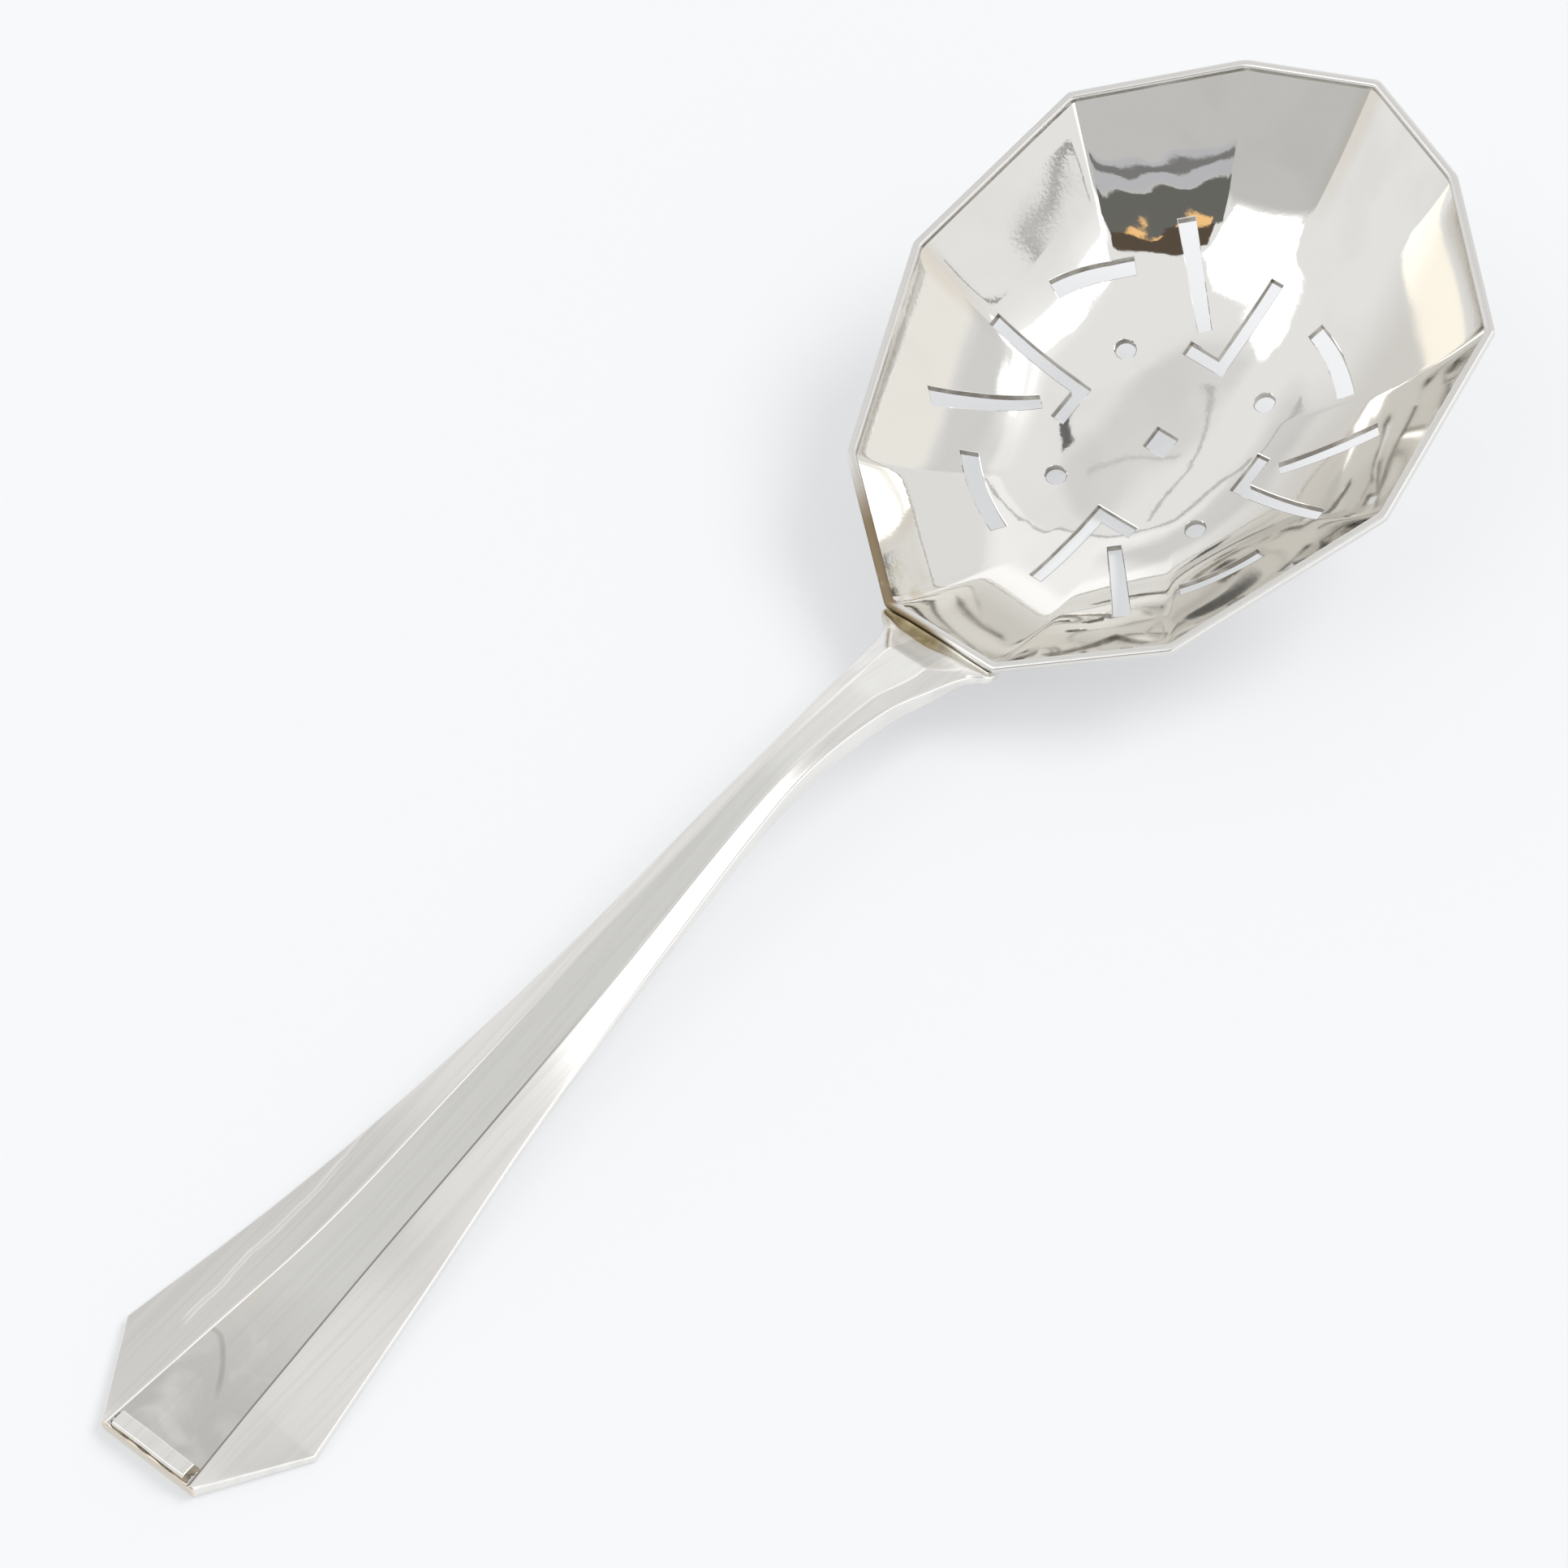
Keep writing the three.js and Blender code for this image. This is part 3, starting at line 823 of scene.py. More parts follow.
@dataclass
class Bowl:
    """The pierced bowl: a sheet raised into eleven facets that melt into a smooth bottom.

    The plan is star-shaped about the deepest place. A point's share s of the way out is where
    1/s = (1 - f)/oval + f/polygon, with the point's gauges in an oval and in the rim's polygon, and f
    easing from 0 to 1 as s goes over facet_rise. The depth under the wire falls off as 1 - s^wall_power.
    """

    length: float = 85.3
    width: float = 66.6
    depth: float = 16.3
    centre: float = 39.1
    tilt: float = 16.2
    joint_width: float = 15.2
    near_corner: Pair = (0.15, 0.69)
    front_corner: Pair = (0.762, 0.9)
    tip_corner: Pair = (0.932, 0.447)
    facet_rise: Pair = (0.3, 0.75)
    wall_power: float = 2.7
    sheet_thickness: float = 1.1
    sheet_edge: float = 0.8
    wire_width: float = 1.1
    wire_height: float = 1.0
    film: float = 0.1
    crease_power: float = 160.0
    browned_corners: tuple[int, int] = (5, 8)
    ripple: float = 0.035
    ripple_seed: int = 11
    ripple_lengths: Pair = (9.0, 30.0)
    ripple_fade: Pair = (0.98, 0.8)
    dents: tuple[float, float, float] = (64.0, 17.5, 11.0)
    dent_seed: int = 5
    dent_lengths: Pair = (3.0, 8.0)
    dent_height: float = 1.5
    dent_core: float = 0.3
    wave_count: int = 14
    points_per_side: int = 24
    first_ring: int = 2
    rings: int = 66
    thinning: tuple[tuple[float, int], ...] = ((0.2, 6), (0.4, 3), (1.0, 1))
    least_gauge: float = 1e-9
    most_share: float = 1.6
    halvings: int = 36
    slope_reach: float = 0.03
    merge_distance: float = 1e-7
    least_area: float = 1e-6
    cut_step: float = 0.45
    cut_bevel: float = 0.07
    cut_margin: float = 0.2
    piercing_centre: float = 39.4
    square_side: float = 3.0
    round_hole: tuple[float, float, float] = (2.5, 12.8, 54.6)
    angled_slot: tuple[float, float, float, float, float] = (10.7, 12.8, 5.6, 1.7, -1.05)
    straight_slot: tuple[float, float, float, float] = (14.3, 3.9, 1.6, 2.1)
    straight_cuts: tuple[Pair, ...] = ((13.0, 43.5), (12.2, 49.0), (11.8, 43.5), (11.8, 43.5))
    curved_slot: tuple[float, float, float, float] = (21.9, 2.0, 43.0, 69.5)
    arc_points: int = 25
    hole_points: int = 28
    place: Placing = field(init=False)

    def __post_init__(self) -> None:
        """Take the bowl's place from the frame's rim, whose lowest corner is at the joint edge."""
        low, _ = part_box("rim_wire")
        turn = math.radians(self.tilt)
        drop = (self.wire_height - self.film) * math.cos(turn)
        self.place = Placing(low.x / METRES, low.z / METRES + drop, turn)

    def corners(self) -> Array:
        """The rim's eleven corners: five on the right, the tip, and the five mirrored.

        Returns:
            The corners in plan, counter-clockwise from the joint's right corner.
        """
        half = self.width / 2
        size = np.array([self.length, -half])
        right = np.array([
            (0.0, -self.joint_width / 2),
            size * self.near_corner,
            (self.centre, -half),
            size * self.front_corner,
            size * self.tip_corner,
        ])
        return np.vstack([right, [(self.length, 0.0)], right[::-1] * (1.0, -1.0)])

    @staticmethod
    def inset(corners: Array, distance: float) -> Array:
        """Move every edge of an outline inwards.

        Args:
            corners: The outline, counter-clockwise.
            distance: How far the edges move; a negative one moves them out.

        Returns:
            The new corners, each on its corner's bisector.
        """
        edges = unit(np.roll(corners, -1, axis=0) - corners)
        after = np.stack([-edges[:, 1], edges[:, 0]], axis=1)
        before = np.roll(after, 1, axis=0)
        bisectors = unit(before + after)
        return corners + bisectors * (distance / (bisectors * before).sum(axis=1))[:, None]

    def outer_outline(self) -> Array:
        """The sheet's outer edge under the wire."""
        return self.inset(self.corners(), (self.wire_width - self.sheet_edge) / 2)

    def inner_outline(self) -> Array:
        """The sheet's inner edge under the wire."""
        return self.inset(self.outer_outline(), self.sheet_edge)

    def gauges(self, plan: Array, corners: Array) -> tuple[Array, Array]:
        """How far out points lie, as shares of the way to the polygon and to the oval.

        The polygon's gauge is a high power mean of the gauges of its edges, which rounds the creases.

        Args:
            plan: Points in plan.
            corners: The outline.

        Returns:
            The polygon's gauge and the oval's gauge.
        """
        edges = np.roll(corners, -1, axis=0) - corners
        outward = unit(np.stack([edges[:, 1], -edges[:, 0]], axis=1))
        reach = ((corners - (self.centre, 0.0)) * outward).sum(axis=1)
        offset = plan - (self.centre, 0.0)
        parts = np.maximum(offset @ (outward / reach[:, None]).T, self.least_gauge)
        largest = parts.max(axis=-1, keepdims=True)
        mean = ((parts / largest) ** self.crease_power).sum(axis=-1) ** (1.0 / self.crease_power)
        front = corners[:, 0].max() - self.centre
        half_length = np.where(offset[..., 0] > 0, front, self.centre)
        oval = np.hypot(offset[..., 0] / half_length, offset[..., 1] / corners[:, 1].max())
        return largest[..., 0] * mean, np.maximum(oval, self.least_gauge)

    def share(self, plan: Array, corners: Array) -> Array:
        """Each point's share of the way out, found by halving.

        Args:
            plan: Points in plan.
            corners: The outline.

        Returns:
            The shares, 0 at the deepest place and 1 on the outline.
        """
        polygon, oval = self.gauges(plan, corners)
        low = np.zeros_like(oval)
        high = np.full_like(oval, self.most_share)
        for _ in range(self.halvings):
            middle = (low + high) / 2
            faceted = smooth_step(middle, *self.facet_rise)
            short = middle * ((1.0 - faceted) / oval + faceted / polygon) < 1.0
            low = np.where(short, middle, low)
            high = np.where(short, high, middle)
        return (low + high) / 2

    def waves(self, plan: Array, seed: int, shortest: float, longest: float) -> Array:
        """A seeded sum of sines of all directions, with longer ones higher.

        Args:
            plan: Points in plan.
            seed: The draw's seed.
            shortest: The shortest wave.
            longest: The longest wave.

        Returns:
            The sum, whose slopes are alike for all lengths.
        """
        draw = np.random.default_rng(seed)
        angles = draw.uniform(0.0, math.pi, self.wave_count)
        lengths = draw.uniform(shortest, longest, self.wave_count)
        phases = draw.uniform(0.0, math.tau, self.wave_count)
        runs = np.stack([np.cos(angles), np.sin(angles)]) * (math.tau / lengths)
        return (np.sin(plan @ runs + phases) * (lengths / self.ripple_lengths[1])).sum(axis=-1)

    def ripples(self, plan: Array) -> Array:
        """The hammer's faint waves all over, and its closer dents on the left front facet.

        Args:
            plan: Points in plan.

        Returns:
            The sum of both.
        """
        along, across, reach = self.dents
        spot = np.hypot(plan[..., 0] - along, plan[..., 1] - across)
        inside = smooth_step(spot, reach, self.dent_core * reach)
        dents = self.waves(plan, self.dent_seed, *self.dent_lengths) * inside
        return self.waves(plan, self.ripple_seed, *self.ripple_lengths) + self.dent_height * dents

    def height(self, plan: Array, corners: Array, depth: float) -> Array:
        """The sheet's height over the rim's plane.

        Args:
            plan: Points in plan.
            corners: The surface's outline.
            depth: The surface's depth at the deepest place.

        Returns:
            The heights, with ripples that fade out at the edge.
        """
        share = self.share(plan, corners)
        fall = -self.wire_height - (depth - self.wire_height) * (1.0 - share ** self.wall_power)
        return fall + self.ripple * self.ripples(plan) * smooth_step(share, *self.ripple_fade)

    def under(self, plan: Array) -> Array:
        """The height of the sheet's underside."""
        return self.height(plan, self.outer_outline(), self.depth + self.sheet_thickness)

    def cuts(self) -> list[Array]:
        """The saw cuts: a square, and one motif in four quarter turns about it.

        Returns:
            The cuts' outlines in plan, counter-clockwise, each with evenly spaced points.
        """
        half = self.square_side / 2
        shapes = [np.array([(-half, -half), (half, -half), (half, half), (-half, half)])]
        for quarter, (length, angle) in enumerate(self.straight_cuts):
            for shape in (self.angled(), self.straight(length, angle), self.curved(), self.round()):
                shapes.append(self.turned(shape, 90.0 * quarter))
        return [self.spaced(shape + (self.piercing_centre, 0.0)) for shape in shapes]

    @staticmethod
    def turned(shape: Array, angle: float) -> Array:
        """Turn a flat shape about the origin by an angle in degrees."""
        c, s = math.cos(math.radians(angle)), math.sin(math.radians(angle))
        return shape @ np.array([[c, s], [-s, c]])

    def spaced(self, shape: Array) -> Array:
        """Put evenly spaced points on an outline's sides, keeping its corners.

        Args:
            shape: The outline's corners.

        Returns:
            The outline's points.
        """
        following = np.roll(shape, -1, axis=0)
        counts = np.maximum(np.ceil(np.linalg.norm(following - shape, axis=1) / self.cut_step), 1).astype(int)
        sides = [
            start + (end - start) * np.arange(count)[:, None] / count
            for start, end, count in zip(shape, following, counts)
        ]
        return np.vstack(sides)

    def angled(self) -> Array:
        """The right-angled slot, whose long leg points outwards.

        Returns:
            Its corners about the piercing's centre.
        """
        reach, long_leg, short_leg, width, offset = self.angled_slot
        return np.array([
            (reach, offset), (reach + long_leg, offset), (reach + long_leg, offset + width),
            (reach + width, offset + width), (reach + width, offset + short_leg), (reach, offset + short_leg),
        ])

    def straight(self, length: float, angle: float) -> Array:
        """The straight slot, which widens outwards.

        Args:
            length: Its length.
            angle: Its lean, in degrees.

        Returns:
            Its corners about the piercing's centre.
        """
        along, across, inner, outer = self.straight_slot
        shape = np.array([(0.0, -inner / 2), (length, -outer / 2), (length, outer / 2), (0.0, inner / 2)])
        return self.turned(shape, angle) + (along, across)

    def curved(self) -> Array:
        """The curved slot: two arcs about the piercing's centre.

        Returns:
            Its points, along the outer arc and back along the inner one.
        """
        radius, width, start, end = self.curved_slot
        turn = np.radians(np.linspace(start, end, self.arc_points))
        ray = circle(turn)
        return np.vstack([ray * (radius + width / 2), ray[::-1] * (radius - width / 2)])

    def round(self) -> Array:
        """The round hole.

        Returns:
            Its points about the piercing's centre.
        """
        diameter, reach, angle = self.round_hole
        turn = np.linspace(0.0, math.tau, self.hole_points, endpoint=False)
        middle = reach * np.array([math.cos(math.radians(angle)), math.sin(math.radians(angle))])
        return middle + circle(turn) * diameter / 2

    @staticmethod
    def inside(points: Array, outline: Array) -> Array:
        """Whether points lie inside an outline, by counting its sides to their right.

        Args:
            points: Points in plan.
            outline: The outline.

        Returns:
            True for each point with an odd count.
        """
        following = np.roll(outline, -1, axis=0)
        x, y = points[:, :1], points[:, 1:]
        spans = (outline[:, 1] > y) != (following[:, 1] > y)
        rise = np.where(following[:, 1] == outline[:, 1], TINY, following[:, 1] - outline[:, 1])
        crossing = outline[:, 0] + (y - outline[:, 1]) * (following[:, 0] - outline[:, 0]) / rise
        return (spans & (x < crossing)).sum(axis=1) % 2 == 1

    def rays(self, corners: Array) -> Array:
        """The outline's points, crowded towards its corners by a cosine.

        Args:
            corners: The outline.

        Returns:
            The points, from the first corner on.
        """
        turn = math.pi * np.arange(self.points_per_side) / self.points_per_side
        share = (0.5 - 0.5 * np.cos(turn))[:, None]
        following = np.roll(corners, -1, axis=0)
        return (corners[:, None] * (1.0 - share) + following[:, None] * share).reshape(-1, 2)

    def field_points(self, corners: Array, cuts: list[Array]) -> Array:
        """Points over the plan on rays and rings, thinned near the middle and kept off the cuts.

        Args:
            corners: The outline.
            cuts: The cuts' outlines.

        Returns:
            The points in plan.
        """
        rim = self.rays(corners)
        _, oval = self.gauges(rim, corners)
        found = []
        for ring in range(self.first_ring, self.rings):
            share = ring / self.rings
            step = next(step for limit, step in self.thinning if share < limit)
            faceted = smooth_step(np.array(share), *self.facet_rise)
            scale = share * ((1.0 - faceted) / oval + faceted)
            found.append(((rim - (self.centre, 0.0)) * scale[:, None] + (self.centre, 0.0))[::step])
        points = np.vstack(found)
        clear = np.ones(len(points), dtype=bool)
        for cut in cuts:
            clear &= ~self.inside(points, self.inset(cut, -self.cut_margin))
        return points[clear]

    def cover(self, corners: Array, cuts: list[Array]) -> tuple[Array, Array, list[Array], Array]:
        """Triangles over the plan inside an outline, left open at the cuts.

        Args:
            corners: The outline.
            cuts: The cuts' outlines.

        Returns:
            The points in plan, the outline's numbers, the cuts' numbers and the triangles.
        """
        loops = [self.rays(corners), *cuts]
        start = np.cumsum([0] + [len(loop) for loop in loops])
        rings = [np.arange(first, last) for first, last in zip(start[:-1], start[1:])]
        points = np.vstack([*loops, self.field_points(corners, cuts)])
        edges = np.vstack([np.stack([ring, np.roll(ring, -1)], axis=1) for ring in rings])
        places = [Vector(point) for point in points]
        found = delaunay_2d_cdt(places, edges.tolist(), [], 0, self.merge_distance, True)
        source = np.array([origins[0] for origins in found[3]])
        triangles = source[np.array(found[2])]
        sides = points[triangles]
        middles = sides.mean(axis=1)
        spread = np.cross(sides[:, 1] - sides[:, 0], sides[:, 2] - sides[:, 0])
        keep = np.abs(spread) > self.least_area
        for cut in cuts:
            keep &= ~self.inside(middles, cut)
        triangles = np.where((spread > 0)[:, None], triangles, triangles[:, ::-1])
        return points, rings[0], rings[1:], triangles[keep]

    def surface(self, plan: Array, corners: Array, depth: float) -> tuple[Array, Array]:
        """Points and upward normals of one side of the sheet, with normals from the height's slopes.

        Args:
            plan: Points in plan.
            corners: The side's outline.
            depth: The side's depth.

        Returns:
            The points and normals in the spoon's frame.
        """
        reach = self.slope_reach
        height = self.height(plan, corners, depth)
        falls = [
            self.height(plan - step, corners, depth) - self.height(plan + step, corners, depth)
            for step in ((reach, 0.0), (0.0, reach))
        ]
        normals = np.stack([*falls, np.full_like(height, 2 * reach)], axis=-1)
        return self.place.to_spoon(lifted(plan, height)), self.place.turn(unit(normals))

    def build(self) -> bpy.types.Object:
        """Make the sheet's two sides, its edge and the walls of its cuts, and dress it.

        Returns:
            The piece.
        """
        draft = MeshDraft()
        cuts = self.cuts()
        bevelled = [self.inset(cut, -self.cut_bevel) for cut in cuts]
        sides = []
        for outline, holes, depth in (
            (self.inner_outline(), bevelled, self.depth),
            (self.outer_outline(), cuts, self.depth + self.sheet_thickness),
        ):
            plan, rim, loops, triangles = self.cover(outline, holes)
            points, normals = self.surface(plan, outline, depth)
            points[:, 2] = np.maximum(points[:, 2], 0.0)
            first = draft.add_points(points)[0]
            sides.append(SheetSide(rim + first, [loop + first for loop in loops], triangles + first, normals))
        inner, outer = sides
        known = np.vstack([inner.normals, -outer.normals])
        draft.add_faces(inner.triangles, known)
        draft.add_faces(outer.triangles[:, ::-1], known)
        self.wall(draft, outer.rim, inner.rim)
        for cut, top, foot in zip(cuts, inner.cuts, outer.cuts):
            lips, _ = self.surface(cut, self.inner_outline(), self.depth + self.cut_bevel)
            lip = draft.add_points(lips)
            self.wall(draft, top, lip)
            self.wall(draft, lip, foot, finish=1)
        browned = self.corners()[list(self.browned_corners)]
        polished = BowlSilver().material(self.place, self.centre, browned)
        finishes = [polished, SawnSilver().material()]
        return draft.to_piece("bowl_pierced", finishes, ("bowl",))

    @staticmethod
    def wall(draft: MeshDraft, ring: Array, other: Array, finish: int = 0) -> None:
        """Join two rings of as many points with flat quads."""
        quads = [ring, np.roll(ring, -1), np.roll(other, -1), other]
        draft.add_faces(np.stack(quads, axis=-1), flat=True, finish=finish)


def rounded(corners: Array, radii: Array, arc: int, side: int) -> Array:
    """Round the corners of closed sections and put points along their sides.

    A corner becomes the curve (1-t)^2 a + 2t(1-t) c + t^2 b between points a and b on its two sides.

    Args:
        corners: Sections by corners by two coordinates.
        radii: How far from each corner its rounding starts, at most ROUNDING_LIMIT of a side.
        arc: Points on a rounding.
        side: Points on the straight between two roundings.

    Returns:
        Sections by points by two coordinates.
    """
    ahead = np.roll(corners, -1, axis=1) - corners
    behind = np.roll(corners, 1, axis=1) - corners
    length = np.linalg.norm(ahead, axis=-1)
    room = ROUNDING_LIMIT * np.minimum(length, np.roll(length, 1, axis=1))
    start = np.minimum(radii, room)[..., None]
    first = corners + unit(behind) * start
    last = corners + unit(ahead) * start
    t = np.linspace(0.0, 1.0, arc)[:, None]
    pull = 2 * t * (1 - t) * corners[:, :, None]
    curve = (1 - t) ** 2 * first[:, :, None] + pull + t ** 2 * last[:, :, None]
    goal = np.roll(first, -1, axis=1)[:, :, None]
    s = (np.arange(1, side + 1) / (side + 1))[:, None]
    straight = last[:, :, None] * (1 - s) + goal * s
    return np.concatenate([curve, straight], axis=2).reshape(len(corners), -1, 2)


@dataclass
class RimWire:
    """The wire on the bowl's edge: a half-round strip carried round the eleven-sided rim.

    On a ray from the bowl's deepest place to the rim, a point at an inset a lies at 1/g of the way, where g
    is the rim end's power mean of the gauges of the rim's edges, moved in by a.
    """

    bowl: Bowl
    edge_radii: tuple[float, float, float, float] = (0.5, 0.12, 0.12, 0.5)
    seam: float = 0.03
    points_per_side: int = 26
    arc: int = 8
    side: int = 2
    corner_power: float = 420.0

    def build(self) -> bpy.types.Object:
        """Carry the strip's section round the rim and dress it.

        Returns:
            The piece.
        """
        draft = MeshDraft()
        form = self.bowl
        width, foot = form.wire_width, self.seam - form.wire_height
        section = np.array([[(0.0, 0.0), (0.0, foot), (width, foot), (width, 0.0)]])
        profile = rounded(section, np.array([self.edge_radii]), self.arc, self.side)[0]
        outline = replace(form, points_per_side=self.points_per_side, crease_power=self.corner_power)
        rim = outline.rays(outline.corners())
        rays = rim - (form.centre, 0.0)
        rings = []
        for inset, height in profile:
            polygon, _ = outline.gauges(rim, form.inset(form.corners(), inset))
            plan = rays / polygon[:, None] + (form.centre, 0.0)
            rings.append(lifted(plan, height))
        points = form.place.to_spoon(np.stack(rings))
        numbers = draft.add_points(points)
        draft.add_grid(numbers[:, ::-1], rows_close=True, columns_close=True)
        corners = form.corners()
        finish = WireSilver().material(form.place, (corners[-1], corners[-2]))
        return draft.to_piece("rim_border", [finish], ("rim_wire",))


@dataclass
class Handle:
    """The forged handle: ten-cornered sections on smooth curves through stations along its length.

    A station's rows are the share of the way along, of the climb to the neck's crest, of the shoulders'
    panel, of the widening from the neck, of the shoulders' bevel, of the thickening and of the edges' growth
    into the neck's sides. Four more stations are where the flare starts, at the joint edge, and at the
    tongue's middle and tip. The panel is sunk a little between two lips, which fade out up the stem.
    """

    bowl: Bowl
    length: float = 128.1
    end_width: float = 12.5
    end_thickness: float = 1.75
    end_panel_margin: float = 0.5
    end_panel_drop: float = 0.1
    shoulder_setback: float = 10.7
    shoulder_width: float = 26.0
    shoulder_thickness: float = 2.4
    shoulder_panel: float = 9.7
    shoulder_edge: float = 1.1
    edge_fade: float = 2.0
    stem_edge: float = 0.95
    underside_bevel: float = 3.0
    least_foot: float = 0.6
    neck_width: float = 5.8
    neck_thickness: float = 4.6
    neck_edge: float = 3.0
    neck_rise: float = 5.0
    flare_length: float = 2.0
    joint_drop: float = 0.95
    joint_fall: float = 0.3
    joint_zone: float = 12.0
    tongue_length: float = 6.5
    tongue_thickness: float = 2.4
    tongue_tip: float = 1.4
    seat_bite: float = 0.4
    seat_run: Pair = (0.3, 20.0)
    seat_points: int = 200
    lip: float = 0.11
    lip_width: float = 0.12
    lip_fade: Pair = (85.0, 50.0)
    crisp: tuple[float, ...] = (0.06, 0.1, 0.25, 0.25, 0.8)
    soft: tuple[float, ...] = (0.1, 0.12, 0.4, 0.45, 0.9)
    softening: Pair = (50.0, 95.0)
    least_bevel: float = 0.1
    hollow_crest: float = 0.8
    hollow_slope: float = 0.25
    hollow_curve: float = 0.04
    hollow_round: float = 0.12
    end_rounding: tuple[Pair, ...] = ((0.0, 0.22), (0.03, 0.11), (0.11, 0.03))
    first_section: float = 0.25
    step: float = 0.6
    joint_step: float = 0.22
    arc: int = 5
    side: int = 9
    film: float = 0.03
    end_x: float = field(init=False)

    def __post_init__(self) -> None:
        """Take the end edge's place from the frame."""
        low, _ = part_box("handle")
        self.end_x = low.x / METRES

    def stations(self) -> dict[str, Array]:
        """The sections' sizes at the stations, by distance from the end edge.

        Returns:
            Arrays named distance, top, panel, half, drop, thickness and edge.
        """
        rows = np.array([
            (0.0, 0.0, 1.0, 1.0, 1.0, 0.0, 0.0),
            (0.17, 0.1, 0.7, 0.67, 0.85, 0.12, 0.0),
            (0.34, 0.34, 0.59, 0.38, 0.85, 0.4, 0.0),
            (0.52, 0.64, 0.475, 0.18, 1.0, 0.7, 0.15),
            (0.69, 0.93, 0.3, 0.04, 0.7, 0.95, 0.6),
            (0.78, 1.0, 0.27, 0.0, 0.55, 1.0, 1.0),
            (0.88, 0.9, 0.33, 0.07, 0.6, 0.9, 0.9),
            (0.94, 0.72, 0.5, 0.18, 0.77, 0.6, 0.6),
        ]).T
        along, climb, panel, widening, bevel, thickening, growth = rows
        rim = self.bowl.place.z
        joint_half = self.bowl.joint_width / 2
        swelling = self.neck_thickness - self.shoulder_thickness
        stem = {
            "distance": self.shoulder_setback + (self.length - self.shoulder_setback) * along,
            "top": self.shoulder_thickness + (rim + self.neck_rise - self.shoulder_thickness) * climb,
            "panel": panel * self.shoulder_panel / 2,
            "half": self.neck_width / 2 + (self.shoulder_width - self.neck_width) / 2 * widening,
            "drop": bevel * (self.shoulder_thickness - self.shoulder_edge),
            "thickness": self.shoulder_thickness + swelling * thickening,
            "edge": self.stem_edge + (self.neck_edge - self.stem_edge) * growth,
        }
        middle, tip = self.tongue_length / 2, self.tongue_length
        seat = self.seat_height(np.array([middle, tip])) + self.seat_bite
        share = np.array([2.2, 2.4, 1.0, 0.0])
        crest = rim + self.hollow_crest
        flare = {
            "distance": self.length + np.array([-self.flare_length, 0.0, middle, tip]),
            "top": np.array([crest, crest - self.joint_fall, *seat]),
            "panel": np.array([0.3, 0.33, 0.4, 0.3]) * joint_half,
            "half": np.array([0.78, 1.02, 0.86, 0.42]) * joint_half,
            "drop": np.array([1.6, 1.6, 0.6, 0.2]),
            "edge": np.array([1.4, 1.2, 0.95, 0.95]),
            "thickness": self.tongue_tip + (self.tongue_thickness - self.tongue_tip) * share,
        }
        return {name: np.concatenate([stem[name], flare[name]]) for name in stem}

    def seat_height(self, past: Array) -> Array:
        """The height of the bowl's underside on the middle line.

        Args:
            past: Distances past the joint edge.

        Returns:
            The heights.
        """
        along = np.linspace(*self.seat_run, self.seat_points)
        plan = np.stack([along, np.zeros_like(along)], axis=1)
        line = self.bowl.place.to_spoon(lifted(plan, self.bowl.under(plan)))
        return np.interp(self.bowl.place.x + past, line[:, 0], line[:, 2])

    @staticmethod
    def smooth(distance: Array, places: Array, values: Array) -> Array:
        """Values on a curve whose slope at each place follows its neighbours.

        Args:
            distance: Where the values are wanted.
            places: Where they are known, in order.
            values: The known values.

        Returns:
            The cubic curve's values.
        """
        before = np.concatenate([[0], np.arange(len(places) - 1)])
        after = np.concatenate([np.arange(1, len(places)), [len(places) - 1]])
        slopes = (values[after] - values[before]) / (places[after] - places[before])
        k = np.clip(np.searchsorted(places, distance, side="right") - 1, 0, len(places) - 2)
        span = places[k + 1] - places[k]
        t = np.clip((distance - places[k]) / span, 0.0, 1.0)
        eased = smooth_step(t, 0.0, 1.0)
        pull = slopes[k] * t * (1.0 - t) ** 2 - slopes[k + 1] * t * t * (1.0 - t)
        return values[k] + (values[k + 1] - values[k]) * eased + pull * span

    def sizes(self, distance: Array) -> dict[str, Array]:
        """The sections' sizes, on straight lines to the shoulders and on the stations' curves from there.

        Args:
            distance: Distances from the end edge.

        Returns:
            Arrays named top, panel, half, drop, thickness, edge and lip.
        """
        stations = self.stations()
        end = {
            "top": self.end_thickness,
            "panel": self.end_width / 2 - self.end_panel_margin,
            "half": self.end_width / 2,
            "drop": self.end_panel_drop,
            "thickness": self.end_thickness,
            "edge": self.end_thickness,
        }
        share = np.clip(distance / self.shoulder_setback, 0.0, 1.0)
        sizes = {}
        for name, at_end in end.items():
            curve = self.smooth(distance, stations["distance"], stations[name])
            straight = at_end + (stations[name][0] - at_end) * share
            sizes[name] = np.where(distance < self.shoulder_setback, straight, curve)
        faded = self.shoulder_setback + self.edge_fade
        fade = smooth_step(distance, faded, self.shoulder_setback) * share
        sizes["edge"] = sizes["edge"] + (self.shoulder_edge - self.stem_edge) * fade
        sizes["lip"] = self.lip * smooth_step(distance, *self.lip_fade)
        return sizes

